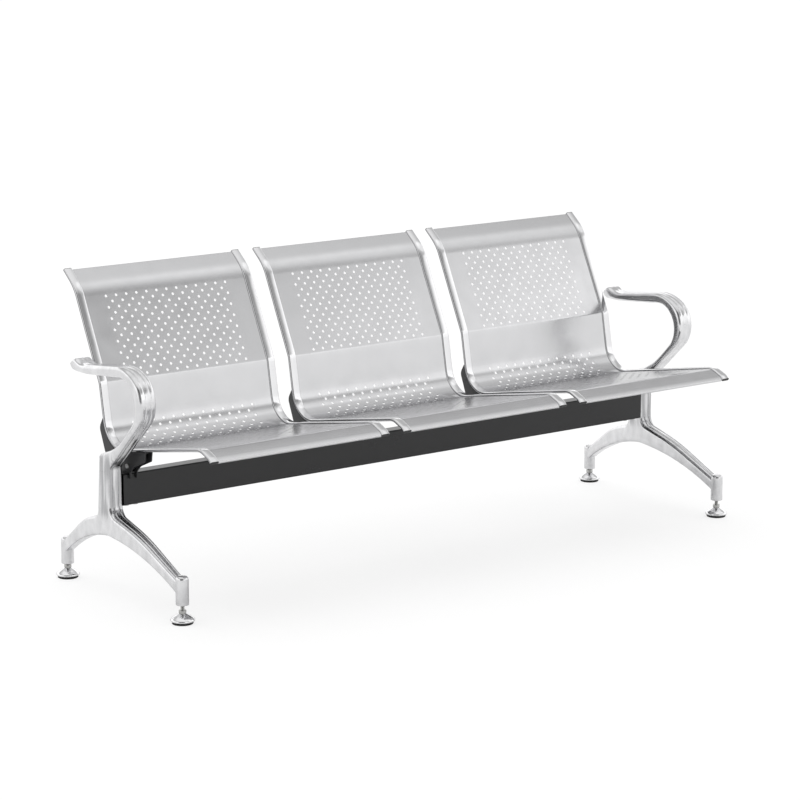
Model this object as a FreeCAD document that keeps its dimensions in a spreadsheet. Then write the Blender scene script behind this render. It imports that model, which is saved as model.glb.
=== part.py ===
import FreeCAD, Part
import math
import os
import Sketcher

# A three-place waiting-room bench: three perforated steel shells on one beam between two cast ends.
# X runs along the bench, Y to the back, Z up from the floor. Along the depth, places count from the
# middle line of the beam until the last step, which centres the whole bench on its own footprint.

Vector = FreeCAD.Vector
Placement = FreeCAD.Placement
Rotation = FreeCAD.Rotation
ALONG = Vector(1, 0, 0)
UP = Vector(0, 0, 1)

os.makedirs("parts", exist_ok=True)
doc = FreeCAD.newDocument("waiting_room_bench")
sheet = doc.addObject("Spreadsheet::Sheet", "Sizes")

# Driving sizes in millimetres. A name that ends in _y is a place along the depth, in _z a height.
driving = {
    "seat_width": 530,
    "seat_gap": 44,
    "leg_gap": 14,
    "beam_high": 80,
    "beam_deep": 40,
    "beam_wall": 2.5,
    "beam_bottom_z": 229,
    "beam_corner": 4,
    "rail_wide": 24,
    "rail_thick": 9,
    "rail_wall": 1.5,
    "roll_end_y": 268,
    "roll_end_z": 779,
    "roll_y": 221,
    "roll_z": 741,
    "roll_radius": 120,
    "lumbar_y": 109.4,
    "lumbar_z": 514.7,
    "lumbar_radius": 40,
    "hip_y": 79,
    "hip_z": 349.3,
    "hip_radius": 75,
    "crest_y": -345,
    "crest_z": 425.6,
    "crest_radius": 40,
    "front_y": -386,
    "front_z": 402,
    "sheet_thick": 1.5,
    "crease_radius": 8,
    "crest_crease_radius": 14,
    "hem_deep": 9,
    "hem_radius": 3,
    "hem_rise": 6.6,
    "hole_wide": 7.5,
    "hole_pitch": 30,
    "hole_columns": 13,
    "back_rows": 15,
    "back_first_row": 4,
    "back_rise": 7,
    "seat_rows": 25,
    "seat_first_row": 14,
    "plug_lip": 2,
    "plug_tongue": 12,
    "plug_play": 0.1,
    "bracket_wide": 22,
    "bracket_wall": 3,
    "bracket_front_y": -97,
    "bracket_tip_rise": 6,
    "bracket_soft": 5,
    "bracket_bend": 25,
    "bracket_fin_bend": 20,
    "bracket_nose_lean": 3,
    "hollow_past_tip": 66,
    "hollow_past_nose": 176,
    "saddle_cheek": 7,
    "bracket_fin_y": 113,
    "bracket_fin_z": 404,
    "bracket_heel_y": 88,
    "bracket_heel_z": 344,
    "bracket_nose_z": 350,
    "bracket_throat_y": -42,
    "bracket_throat_z": 328,
    "saddle_lip": 12,
    "saddle_wall": 4,
    "saddle_play": 0.3,
    "saddle_bolt_shift": 10,
    "saddle_bolt_shank": 8,
    "saddle_bolt_head": 13,
    "saddle_bolt_head_high": 5,
    "saddle_bolt_long": 20,
    "saddle_nut_wide": 11,
    "saddle_nut_long": 15,
    "rail_bolt_shank": 6,
    "rail_bolt_head": 10.5,
    "rail_bolt_head_high": 3.3,
    "rail_bolt_front_y": -75,
    "rail_bolt_rear_y": -12,
    "rail_nut_wide": 9,
    "pin_wide": 8,
    "pin_y": -14,
    "pin_z": 327,
    "pin_head_wide": 11,
    "pin_head_high": 2.5,
    "column_wide": 44,
    "column_front_y": -20,
    "column_rear_y": 40,
    "column_top_z": 356,
    "seam_z": 318,
    "column_corner": 7,
    "tongue_long": 60,
    "tongue_high": 57,
    "tongue_play": 0.3,
    "beam_screw_shank": 8,
    "beam_screw_head": 15,
    "beam_screw_head_high": 4,
    "beam_screw_first": 18,
    "beam_screw_spacing": 26,
    "beam_screw_long": 20,
    "leg_front_root_z": 211.5,
    "leg_front_root_radius": 28,
    "leg_front_knee_y": -143.5,
    "leg_front_knee_z": 179.5,
    "leg_front_knee_radius": 168,
    "leg_front_end_z": 105.5,
    "leg_rear_root_z": 198.5,
    "leg_rear_root_radius": 10,
    "leg_rear_knee_y": 105,
    "leg_rear_knee_z": 184,
    "leg_rear_knee_radius": 107,
    "leg_rear_end_z": 97.5,
    "arch_front_end_z": 69.5,
    "arch_front_y": -158.5,
    "arch_front_z": 131,
    "arch_top_y": -8,
    "arch_top_z": 156.5,
    "arch_rear_y": 105.5,
    "arch_rear_z": 130,
    "arch_rear_end_z": 62,
    "leg_end_wide": 29,
    "groove_wide": 4,
    "groove_deep": 1.5,
    "groove_shift": 8,
    "cut_room": 3,
    "taper_room": 20,
    "foot_front_y": -311.2,
    "foot_rear_y": 220.4,
    "socket_wide": 32,
    "socket_dome": 9,
    "socket_front_bottom_z": 46,
    "socket_front_top_z": 118,
    "socket_rear_bottom_z": 37,
    "socket_rear_top_z": 107,
    "insert_wide": 16,
    "insert_long": 30,
    "stud_wide": 10,
    "thread_play": 0.05,
    "stud_room": 0.6,
    "stud_front_top_z": 92,
    "stud_rear_top_z": 80,
    "stud_room_above": 2,
    "stud_chamfer": 1,
    "collar_bottom_z": 25.4,
    "collar_high": 8.6,
    "collar_flats": 17,
    "ball_wide": 14,
    "ball_z": 15.5,
    "ball_play": 0.08,
    "neck_wide": 9,
    "neck_hole": 11,
    "pad_wide": 60,
    "pad_top_wide": 19,
    "pad_top_z": 25,
    "pad_rim_z": 9.5,
    "pad_rim_high": 2,
    "pad_bulge": 1.8,
    "sole_wide": 52,
    "sole_high": 5,
    "sole_chamfer": 1,
    "arm_wide": 50,
    "arm_end_y": 142.5,
    "arm_end_z": 566.5,
    "roll_over_z": 591.5,
    "roll_over_radius": 15,
    "roll_under_z": 550.5,
    "roll_under_radius": 15.5,
    "neck_y": 99,
    "neck_z": 570,
    "neck_radius": 70,
    "arm_over_top_y": -95.5,
    "arm_over_top_z": 596,
    "arm_over_top_radius": 115,
    "arm_over_front_y": -237,
    "arm_over_front_z": 531,
    "arm_over_front_radius": 78,
    "arm_front_root_z": 329,
    "arm_front_root_radius": 10,
    "arm_under_y": 86,
    "arm_under_z": 549,
    "arm_under_radius": 300,
    "arm_under_top_y": -112,
    "arm_under_top_z": 567.5,
    "arm_under_top_radius": 61,
    "arm_under_front_y": -166.5,
    "arm_under_front_z": 494,
    "arm_under_front_radius": 64,
    "arm_rear_root_y": -60.5,
    "arm_rear_root_z": 388,
    "arm_rear_root_radius": 225,
    "arm_taper_z": 472,
    "arm_groove_start": 26,
    "tenon_wide": 24,
    "tenon_long": 44,
    "tenon_play": 0.15,
    "tenon_room": 1,
    "arm_screw_shank": 8,
    "arm_screw_head": 13,
    "arm_screw_head_high": 8,
    "arm_screw_long": 20,
    "arm_screw_top_z": 306,
    "arm_screw_spacing": 20,
}
for row, (name, number) in enumerate(driving.items(), start=1):
    sheet.set("A%d" % row, name)
    sheet.set("B%d" % row, str(number))
    sheet.setAlias("B%d" % row, name)
doc.recompute()


class Sizes:
    """The sheet's numbers, read back by name."""


size = Sizes()
for name in driving:
    setattr(size, name, float(sheet.get(name)))

# Sizes that follow from the driving ones.
seat_pitch = size.seat_width + size.seat_gap
column_inner_x = size.seat_width / 2 + seat_pitch + size.leg_gap
column_x = column_inner_x + size.column_wide / 2
beam_top_z = size.beam_bottom_z + size.beam_high
COLUMN_X = "(Sizes.seat_width * 1.5 + Sizes.seat_gap + Sizes.leg_gap + Sizes.column_wide / 2)"
SEAT_PITCH = "(Sizes.seat_width + Sizes.seat_gap)"
RAIL_X = "((Sizes.seat_width - Sizes.rail_wide) / 2)"
sub_parts = []


def turned(direction):
    """The direction a quarter turn to the left, in the plane of a side outline."""
    return Vector(-direction.y, direction.x, 0)


def run(corners, shift=0.0):
    """Edges along corners (a, b, radius): straight runs joined by tangent arcs, shifted to the left."""
    points = [Vector(a, b, 0) for a, b, radius in corners]
    ways = [(points[i + 1] - points[i]).normalize() for i in range(len(points) - 1)]
    edges = []
    start = points[0] + turned(ways[0]) * shift
    for i in range(1, len(points) - 1):
        before, after = ways[i - 1], ways[i]
        side = 1.0 if before.cross(after).z > 0 else -1.0
        sum_of_normals = turned(before) + turned(after)
        reach = sum_of_normals / (1.0 + before.dot(after))
        if corners[i][2] == 0:
            bend = points[i] + reach * shift
            edges.append(Part.LineSegment(start, bend))
            start = bend
            continue
        centre = points[i] + reach * (side * corners[i][2])
        radius = corners[i][2] - side * shift
        first = centre - turned(before) * (side * radius)
        last = centre - turned(after) * (side * radius)
        middle = centre - sum_of_normals.normalize() * (side * radius)
        edges.append(Part.LineSegment(start, first))
        edges.append(Part.Arc(first, middle, last))
        start = last
    edges.append(Part.LineSegment(start, points[-1] + turned(ways[-1]) * shift))
    return edges


def loop(corners):
    """Closed outline through corners (a, b, radius), started in the middle of its last side."""
    first, last = corners[0], corners[-1]
    middle = ((first[0] + last[0]) / 2, (first[1] + last[1]) / 2, 0)
    return run([middle] + corners + [middle])


def shifted(corners, i, shift):
    """One corner of a line, carried to the line's left with its radius kept concentric."""
    points = [Vector(a, b, 0) for a, b, radius in corners]
    before = (points[i] - points[i - 1]).normalize() if i > 0 else None
    after = (points[i + 1] - points[i]).normalize() if i < len(points) - 1 else None
    if before is None or after is None:
        spot = points[i] + turned(before or after) * shift
        return (spot.x, spot.y, 0)
    side = 1.0 if before.cross(after).z > 0 else -1.0
    spot = points[i] + (turned(before) + turned(after)) / (1.0 + before.dot(after)) * shift
    return (spot.x, spot.y, corners[i][2] - side * shift)


def crossing(point, way, other_point, other_way):
    """Where two straight lines of a side outline cross."""
    gap = other_point - point
    reach = gap.cross(other_way).z / way.cross(other_way).z
    return point + way * reach


def strip(corners, right, left):
    """Closed outline of a band that follows the corners between two shifts."""
    one = run(corners, right)
    other = run(corners, left)
    way_in = Vector(*(corners[1][k] - corners[0][k] for k in (0, 1)), 0).normalize()
    way_out = Vector(*(corners[-1][k] - corners[-2][k] for k in (0, 1)), 0).normalize()
    first = Vector(corners[0][0], corners[0][1], 0)
    last = Vector(corners[-1][0], corners[-1][1], 0)
    caps = []
    for point, way in ((first, way_in), (last, way_out)):
        caps.append(Part.LineSegment(point + turned(way) * right, point + turned(way) * left))
    return one + other + caps


def plane_of(body, role):
    """One of the body's own origin planes."""
    for feature in body.Origin.OriginFeatures:
        if feature.Role == role:
            return feature


def new_body(name):
    """A named sub-part."""
    body = doc.addObject("PartDesign::Body", name)
    body.Label = name
    sub_parts.append(body)
    return body


def new_sketch(body, name, role, edges, offset=0.0):
    """A sketch on an origin plane, or at a distance from it."""
    sketch = body.newObject("Sketcher::SketchObject", body.Name + "_" + name)
    sketch.AttachmentSupport = [(plane_of(body, role), "")]
    sketch.MapMode = "FlatFace"
    sketch.AttachmentOffset = Placement(Vector(0, 0, offset), Rotation())
    for edge in edges:
        sketch.addGeometry(edge)
    return sketch


def circle(sketch, across, up, diameter):
    """A circle in a sketch; each of the three is a number and its formula."""
    index = sketch.addGeometry(Part.Circle(Vector(across[0], up[0], 0), UP, diameter[0] / 2))
    for kind, place in (("DistanceX", across), ("DistanceY", up)):
        number = sketch.addConstraint(Sketcher.Constraint(kind, -1, 1, index, 3, place[0]))
        sketch.setExpression("Constraints[%d]" % number, place[1])
    number = sketch.addConstraint(Sketcher.Constraint("Diameter", index, diameter[0]))
    sketch.setExpression("Constraints[%d]" % number, diameter[1])


def sized(name):
    """A size's number and its formula."""
    return getattr(size, name), "Sizes." + name


def box_sketch(body, name, role, low, high, offset=0.0):
    """A rectangle; low and high are pairs of (number, formula)."""
    sketch = new_sketch(body, name, role, [], offset)
    corners = [Vector(low[0][0], low[1][0], 0), Vector(high[0][0], low[1][0], 0)]
    corners += [Vector(high[0][0], high[1][0], 0), Vector(low[0][0], high[1][0], 0)]
    for i in range(4):
        sketch.addGeometry(Part.LineSegment(corners[i], corners[(i + 1) % 4]))
    for i in range(4):
        sketch.addConstraint(Sketcher.Constraint("Coincident", i, 2, (i + 1) % 4, 1))
    for i, kind in ((0, "Horizontal"), (1, "Vertical"), (2, "Horizontal"), (3, "Vertical")):
        sketch.addConstraint(Sketcher.Constraint(kind, i))
    for i, pair in ((0, low), (2, high)):
        for kind, place in (("DistanceX", pair[0]), ("DistanceY", pair[1])):
            number = sketch.addConstraint(Sketcher.Constraint(kind, -1, 1, i, 1, place[0]))
            sketch.setExpression("Constraints[%d]" % number, place[1])
    return sketch


def pad(sketch, name, length, side="Symmetric", backwards=False):
    """Material added from a sketch over a length given by a formula."""
    body = sketch.getParentGeoFeatureGroup()
    feature = body.newObject("PartDesign::Pad", body.Name + "_" + name)
    feature.Profile = sketch
    feature.SideType = side
    feature.Reversed = backwards
    feature.setExpression("Length", length)
    return feature


def pocket(sketch, name, length=None, side="Symmetric", backwards=False):
    """Material taken away, over a length given by a formula or through everything."""
    body = sketch.getParentGeoFeatureGroup()
    feature = body.newObject("PartDesign::Pocket", body.Name + "_" + name)
    feature.Profile = sketch
    feature.SideType = side
    feature.Reversed = backwards
    if length is None:
        feature.Type = "ThroughAll"
    else:
        feature.setExpression("Length", length)
    return feature


def fillet(feature, name, radius, chosen):
    """Rounded edges: those of the feature's shape that the test picks."""
    doc.recompute()
    body = feature.getParentGeoFeatureGroup()
    names = ["Edge%d" % (i + 1) for i, edge in enumerate(feature.Shape.Edges) if chosen(edge)]
    rounding = body.newObject("PartDesign::Fillet", body.Name + "_" + name)
    rounding.Base = (feature, names)
    rounding.setExpression("Radius", radius)
    return rounding


def group(name, shapes):
    """A sub-part that is one solid, or several like ones kept together."""
    part = doc.addObject("Part::Feature", name)
    part.Label = name
    part.Shape = shapes[0] if len(shapes) == 1 else Part.makeCompound(shapes)
    sub_parts.append(part)
    return part


def moved(shape, x=0.0, y=0.0, z=0.0):
    """A copy of a shape, carried to a place."""
    copy = shape.copy()
    copy.translate(Vector(x, y, z))
    return copy


def rod(diameter, length, base, way=UP):
    """A round bar from a base point."""
    return Part.makeCylinder(diameter / 2, length, base, way)


def hexagon(flats, high, base, way=UP):
    """A hexagonal prism from a base point."""
    reach = flats / math.sqrt(3)
    turns = [math.radians(60 * k) for k in range(7)]
    ring = Part.makePolygon([Vector(reach * math.cos(a), reach * math.sin(a), 0) for a in turns])
    prism = Part.Face(ring).extrude(UP * high)
    prism.Placement = Placement(base, Rotation(UP, way))
    return prism


# Side line of a seat: the middle of its rails and of its sheet, from the top of the back to the front.
seat_line = [
    (size.roll_end_y, size.roll_end_z, 0),
    (size.roll_y, size.roll_z, size.roll_radius),
    (size.lumbar_y, size.lumbar_z, size.lumbar_radius),
    (size.hip_y, size.hip_z, size.hip_radius),
    (size.crest_y, size.crest_z, size.crest_radius),
    (size.front_y, size.front_z, 0),
]


def way_between(first, last):
    """Unit direction from one corner of a line to another."""
    return Vector(last[0] - first[0], last[1] - first[1], 0).normalize()


def on_seat(y):
    """Height of the seat's middle line at a depth between the hip and the crest."""
    slope = (size.crest_z - size.hip_z) / (size.crest_y - size.hip_y)
    return size.hip_z + slope * (y - size.hip_y)


# Beam: a black rectangular tube between the two end castings.
beam = new_body("beam_tube")
half_deep = (size.beam_deep / 2, "Sizes.beam_deep / 2")
minus_half_deep = (-size.beam_deep / 2, "-Sizes.beam_deep / 2")
beam_top = (beam_top_z, "Sizes.beam_bottom_z + Sizes.beam_high")
beam_low = (minus_half_deep, sized("beam_bottom_z"))
outer = box_sketch(beam, "outside", "YZ_Plane", beam_low, (half_deep, beam_top))
bar = pad(outer, "bar", "2 * (%s - Sizes.column_wide / 2)" % COLUMN_X)
fillet(bar, "corners", "Sizes.beam_corner", lambda edge: abs(edge.tangentAt(edge.FirstParameter).x) > 0.99)
bore_half = (size.beam_deep / 2 - size.beam_wall, "Sizes.beam_deep / 2 - Sizes.beam_wall")
minus_bore_half = (-bore_half[0], "Sizes.beam_wall - Sizes.beam_deep / 2")
bore_low = (size.beam_bottom_z + size.beam_wall, "Sizes.beam_bottom_z + Sizes.beam_wall")
bore_high = (beam_top_z - size.beam_wall, beam_top[1] + " - Sizes.beam_wall")
inner = box_sketch(beam, "inside", "YZ_Plane", (minus_bore_half, bore_low), (bore_half, bore_high))
pocket(inner, "bore")

# Places across the bench: three seats, each with a rail and a bracket at both sides.
seat_names = ("left_seat", "middle_seat", "right_seat")
side_names = (("left", -1), ("right", 1))
rail_reach = (size.seat_width - size.rail_wide) / 2
bracket_places = [(k * seat_pitch + side * rail_reach) for k in (-1, 0, 1) for word, side in side_names]

saddle_holes = new_sketch(beam, "saddle_holes", "XY_Plane", [], beam_top_z)
saddle_holes.setExpression("AttachmentOffset.Base.z", beam_top[1])
for k in (-1, 0, 1):
    for word, side in side_names:
        for shift in (-1, 1):
            formula = "%d * %s + %d * %s" % (k, SEAT_PITCH, side, RAIL_X)
            across = (k * seat_pitch + side * rail_reach, formula)
            depth = (shift * size.saddle_bolt_shift, "%d * Sizes.saddle_bolt_shift" % shift)
            circle(saddle_holes, across, depth, sized("saddle_nut_wide"))
pocket(saddle_holes, "saddle_drill", "Sizes.beam_wall * 2", "One side")

screw_places = [column_inner_x - size.beam_screw_first - k * size.beam_screw_spacing for k in (0, 1)]
screw_holes = new_sketch(beam, "screw_holes", "XY_Plane", [], size.beam_bottom_z)
screw_holes.setExpression("AttachmentOffset.Base.z", "Sizes.beam_bottom_z")
for side in (-1, 1):
    for k in (0, 1):
        inner_face = "%s - Sizes.column_wide / 2" % COLUMN_X
        formula = "%d * (%s - Sizes.beam_screw_first - %d * Sizes.beam_screw_spacing)" % (side, inner_face, k)
        circle(screw_holes, (side * screw_places[k], formula), (0, "0"), sized("beam_screw_shank"))
pocket(screw_holes, "screw_drill", "Sizes.beam_wall * 2", "One side", True)


def flat_oval(wide, thick):
    """Outline of a flat-oval tube: two straight sides and two half rounds."""
    half = (wide - thick) / 2
    r = thick / 2
    return [
        Part.LineSegment(Vector(-half, r, 0), Vector(half, r, 0)),
        Part.Arc(Vector(half, r, 0), Vector(half + r, 0, 0), Vector(half, -r, 0)),
        Part.LineSegment(Vector(half, -r, 0), Vector(-half, -r, 0)),
        Part.Arc(Vector(-half, -r, 0), Vector(-half - r, 0, 0), Vector(-half, r, 0)),
    ]


def lift(point):
    """A point of a side outline, set into the bench's own space."""
    return Vector(0, point.x, point.y)


def across_the_run(corner, way):
    """Placement of a section whose own X lies along the bench and whose normal follows the run."""
    normal = lift(way)
    turn = Rotation(ALONG, normal.cross(ALONG), normal, "XZY")
    return Placement(lift(Vector(corner[0], corner[1], 0)), turn)


seat_way = way_between(seat_line[3], seat_line[4])
under = turned(seat_way)
rail_bolt_places = (size.rail_bolt_front_y, size.rail_bolt_rear_y)


def below_seat_line(y, drop):
    """A point under the seat's middle line, square to it, in the bench's own space."""
    return lift(Vector(y, on_seat(y), 0) + under * drop)


def square_to_seat(y, drop):
    """Placement of a section that faces down, square to the seat's middle line."""
    normal = lift(under)
    return Placement(below_seat_line(y, drop), Rotation(ALONG, normal.cross(ALONG), normal, "XZY"))


def seat_rail(name, seat, side):
    """A bent flat-oval side tube, bored from below for its two rivet nuts."""
    rail = new_body(name)
    path = new_sketch(rail, "line", "YZ_Plane", run(seat_line))
    start = across_the_run(seat_line[0], way_between(seat_line[0], seat_line[1]))
    for word, wide, thick, kind in (
        ("outside", size.rail_wide, size.rail_thick, "PartDesign::AdditivePipe"),
        ("inside", size.rail_wide - 2 * size.rail_wall, size.rail_thick - 2 * size.rail_wall,
         "PartDesign::SubtractivePipe"),
    ):
        section = new_sketch(rail, word, "XY_Plane", flat_oval(wide, thick))
        section.AttachmentOffset = start
        sweep = rail.newObject(kind, rail.Name + "_" + word + "_sweep")
        sweep.Profile = section
        sweep.Spine = (path, ["Edge%d" % (i + 1) for i in range(path.GeometryCount)])
    for spot, y in zip(("front", "rear"), rail_bolt_places):
        bore = new_sketch(rail, spot + "_bore", "XY_Plane", [])
        bore.AttachmentOffset = square_to_seat(y, size.rail_thick / 2)
        circle(bore, (0, "0"), (0, "0"), sized("rail_nut_wide"))
        pocket(bore, spot + "_drill", "Sizes.rail_thick - Sizes.rail_wall", "One side")
    rail.setExpression("Placement.Base.x", "%d * %s + %d * %s" % (seat, SEAT_PITCH, side, RAIL_X))
    return rail


for k, seat_name in zip((-1, 0, 1), seat_names):
    for word, side in side_names:
        seat_rail("%s_rail_%s" % (seat_name, word), k, side)
doc.recompute()


# Seat shells: one perforated sheet from the rolled top to the turned-down front, hemmed at both ends.
down_way = way_between(seat_line[0], seat_line[1])
front_way = way_between(seat_line[4], seat_line[5])
top_fold = Vector(size.roll_end_y, size.roll_end_z, 0) + turned(down_way) * size.hem_rise
top_hem = top_fold + down_way * size.hem_deep
front_fold = Vector(size.front_y, size.front_z, 0) + turned(front_way) * size.hem_rise
front_hem = front_fold - front_way * size.hem_deep
sheet_line = [
    (top_hem.x, top_hem.y, 0),
    (top_fold.x, top_fold.y, size.hem_radius),
    (size.roll_end_y, size.roll_end_z, size.hem_radius),
    (size.roll_y, size.roll_z, size.roll_radius),
    (size.lumbar_y, size.lumbar_z, size.crease_radius),
    (size.hip_y, size.hip_z, size.hip_radius),
    (size.crest_y, size.crest_z, size.crest_crease_radius),
    (size.front_y, size.front_z, size.hem_radius),
    (front_fold.x, front_fold.y, size.hem_radius),
    (front_hem.x, front_hem.y, 0),
]


def holes_along(base, way, normal, first, count, odd_first):
    """Rods for rows of holes, square to the sheet, alternate rows shifted by half a pitch."""
    rods = []
    for row in range(count):
        wide_row = (row % 2 == 0) == odd_first
        number = int(size.hole_columns) if wide_row else int(size.hole_columns) - 1
        spot = base + way * (first + row * size.hole_pitch / 2)
        for column in range(number):
            across = (column - (number - 1) / 2) * size.hole_pitch
            start = lift(spot - normal * size.hole_wide) + ALONG * across
            rods.append(rod(size.hole_wide, 2 * size.hole_wide, start, lift(normal)))
    return rods


def along_hip(distance):
    """Point, direction and normal at a distance along the hip curve and then the flat of the seat."""
    down = way_between(seat_line[2], seat_line[3])
    turn = down.getAngle(seat_way)
    setback = size.hip_radius * math.tan(turn / 2)
    corner = Vector(size.hip_y, size.hip_z, 0)
    arc = size.hip_radius * turn
    if distance >= arc:
        point = corner + seat_way * (setback + distance - arc)
        return point, turned(seat_way)
    angle = distance / size.hip_radius
    centre = corner - down * setback - turned(down) * size.hip_radius
    outward = turned(down) * math.cos(angle) + down * math.sin(angle)
    return centre + outward * size.hip_radius, outward


def seat_shell(name, seat):
    """A perforated shell between its two rails."""
    shell = doc.addObject("Part::Feature", name)
    shell.Label = name
    shell.Shape = shell_shape
    shell.Placement = Placement(Vector(seat * seat_pitch, 0, 0), Rotation())
    sub_parts.append(shell)


half_sheet = size.sheet_thick / 2
sheet_edges = [edge.toShape() for edge in strip(sheet_line, -half_sheet, half_sheet)]
outline = Part.Wire(Part.__sortEdges__(sheet_edges))
sheet_wide = size.seat_width - 2 * size.rail_wide
side_face = Part.Face(outline)
side_face.Placement = Placement(Vector(-sheet_wide / 2, 0, 0), Rotation(Vector(1, 1, 1), 120))
plain_sheet = side_face.extrude(ALONG * sheet_wide)
back_way = way_between(seat_line[2], seat_line[1])
lumbar = Vector(size.lumbar_y, size.lumbar_z, 0)
rods = holes_along(lumbar + back_way * size.back_rise, back_way, turned(back_way), size.back_first_row,
                   int(size.back_rows), True)
for row in range(int(size.seat_rows)):
    spot, normal = along_hip(size.seat_first_row + row * size.hole_pitch / 2)
    rods += holes_along(spot, normal, normal, 0, 1, row % 2 == 0)
shell_shape = plain_sheet.cut(Part.makeCompound(rods))
for k, seat_name in zip((-1, 0, 1), seat_names):
    seat_shell(seat_name + "_shell", k)


# Plugs: black caps in both ends of every rail.
def plug(corner, way):
    """A cap with a tongue; way points into the tube."""
    shapes = []
    drawn_in = 2 * (size.rail_wall + size.plug_play)
    for wide, thick, start, length in (
        (size.rail_wide, size.rail_thick, -size.plug_lip, size.plug_lip),
        (size.rail_wide - drawn_in, size.rail_thick - drawn_in, 0, size.plug_tongue),
    ):
        face = Part.Face(Part.Wire([edge.toShape() for edge in flat_oval(wide, thick)]))
        face.Placement = across_the_run(corner, way)
        face.translate(lift(way) * start)
        shapes.append(face.extrude(lift(way) * length))
    return shapes[0].fuse(shapes[1]).removeSplitter()


plug_pair = [plug(seat_line[0], down_way), plug(seat_line[-1], front_way * -1)]
for k, seat_name in zip((-1, 0, 1), seat_names):
    rail_x = [k * seat_pitch + side * rail_reach for word, side in side_names]
    group(seat_name + "_rail_plugs", [moved(shape, x) for x in rail_x for shape in plug_pair])

# Brackets: pressed channels that straddle the beam, run forward under a rail and rise behind it.
under_line = [seat_line[2], seat_line[3], seat_line[4]]
web_top = shifted(under_line, 1, size.rail_thick / 2)
web_way = way_between(seat_line[2], seat_line[3])
web_setback = web_top[2] * math.tan(web_way.getAngle(seat_way) / 2)
tip = Vector(web_top[0], web_top[1], 0) - web_way * (web_setback + size.bracket_tip_rise)
nose_top = Vector(size.bracket_front_y, on_seat(size.bracket_front_y), 0) + under * (size.rail_thick / 2)
lip_y = size.beam_deep / 2 + size.saddle_play
lip_z = beam_top_z - size.saddle_lip
bracket_outline = [
    (tip.x, tip.y, 0),
    web_top,
    (nose_top.x, nose_top.y, 0),
    (size.bracket_front_y + size.bracket_nose_lean, size.bracket_nose_z, size.bracket_soft),
    (size.bracket_throat_y, size.bracket_throat_z, size.bracket_bend),
    (-lip_y - size.saddle_cheek, beam_top_z + size.saddle_wall, size.bracket_soft),
    (-lip_y - size.saddle_cheek, lip_z, 0),
    (-lip_y, lip_z, 0),
    (-lip_y, beam_top_z, 0),
    (lip_y, beam_top_z, 0),
    (lip_y, lip_z, 0),
    (lip_y + size.saddle_cheek, lip_z, 0),
    (size.bracket_heel_y, size.bracket_heel_z, size.bracket_bend),
    (size.bracket_fin_y, size.bracket_fin_z, size.bracket_fin_bend),
]
web_under = shifted(under_line, 1, size.rail_thick / 2 + size.bracket_wall)
inside_tip = Vector(web_under[0], web_under[1], 0) - web_way * (web_setback + size.hollow_past_tip)
inside_nose = Vector(web_under[0], web_under[1], 0) + seat_way * (web_setback + size.hollow_past_nose)
inside_outline = [
    (inside_tip.x, inside_tip.y, 0),
    web_under,
    (inside_nose.x, inside_nose.y, 0),
    (inside_nose.x, size.beam_bottom_z, 0),
    (inside_tip.x + size.hollow_past_tip, size.beam_bottom_z, 0),
    (inside_tip.x + size.hollow_past_tip, inside_tip.y, 0),
]


def seat_bracket(name, seat, side):
    """One bracket: two cheeks under a bent web, with a saddle plate over the beam."""
    bracket = new_body(name)
    pad(new_sketch(bracket, "outline", "YZ_Plane", loop(bracket_outline)), "blank", "Sizes.bracket_wide")
    hollow = new_sketch(bracket, "between_cheeks", "YZ_Plane", loop(inside_outline))
    pocket(hollow, "hollow", "Sizes.bracket_wide - 2 * Sizes.bracket_wall")
    saddle_top = (beam_top_z + size.saddle_wall, beam_top[1] + " + Sizes.saddle_wall")
    low = (-lip_y, "-Sizes.beam_deep / 2 - Sizes.saddle_play"), beam_top
    high = (lip_y, "Sizes.beam_deep / 2 + Sizes.saddle_play"), saddle_top
    pad(box_sketch(bracket, "saddle", "YZ_Plane", low, high), "saddle_plate",
        "Sizes.bracket_wide - Sizes.bracket_wall")
    drill = new_sketch(bracket, "saddle_holes", "XY_Plane", [], beam_top_z)
    drill.setExpression("AttachmentOffset.Base.z", beam_top[1])
    for shift in (-1, 1):
        depth = (shift * size.saddle_bolt_shift, "%d * Sizes.saddle_bolt_shift" % shift)
        circle(drill, (0, "0"), depth, sized("saddle_bolt_shank"))
    pocket(drill, "saddle_drill", "Sizes.saddle_wall", "One side", True)
    for spot, y in zip(("front", "rear"), rail_bolt_places):
        bore = new_sketch(bracket, spot + "_bore", "XY_Plane", [])
        bore.AttachmentOffset = square_to_seat(y, size.rail_thick / 2 + size.bracket_wall)
        circle(bore, (0, "0"), (0, "0"), sized("rail_bolt_shank"))
        pocket(bore, spot + "_drill", "Sizes.bracket_wall", "One side")
    pin_hole = new_sketch(bracket, "pin_hole", "YZ_Plane", [])
    circle(pin_hole, sized("pin_y"), sized("pin_z"), sized("pin_wide"))
    pocket(pin_hole, "pin_drill")
    bracket.setExpression("Placement.Base.x", "%d * %s + %d * %s" % (seat, SEAT_PITCH, side, RAIL_X))


for k, seat_name in zip((-1, 0, 1), seat_names):
    for word, side in side_names:
        seat_bracket("%s_bracket_%s" % (seat_name, word), k, side)

# Fasteners of the seats: saddle bolts in rivet nuts in the beam, rail bolts in rivet nuts in the rails.
def saddle_bolt(shift):
    """A hexagon bolt down through the saddle plate."""
    base = Vector(0, shift * size.saddle_bolt_shift, beam_top_z + size.saddle_wall)
    shank = rod(size.saddle_bolt_shank, size.saddle_bolt_long, base, UP * -1)
    return shank.fuse(hexagon(size.saddle_bolt_head, size.saddle_bolt_head_high, base)).removeSplitter()


def saddle_nut(shift):
    """A rivet nut in the beam's top wall."""
    base = Vector(0, shift * size.saddle_bolt_shift, beam_top_z)
    body = rod(size.saddle_nut_wide, size.saddle_nut_long, base, UP * -1)
    return body.cut(rod(size.saddle_bolt_shank, size.saddle_nut_long, base, UP * -1))


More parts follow.
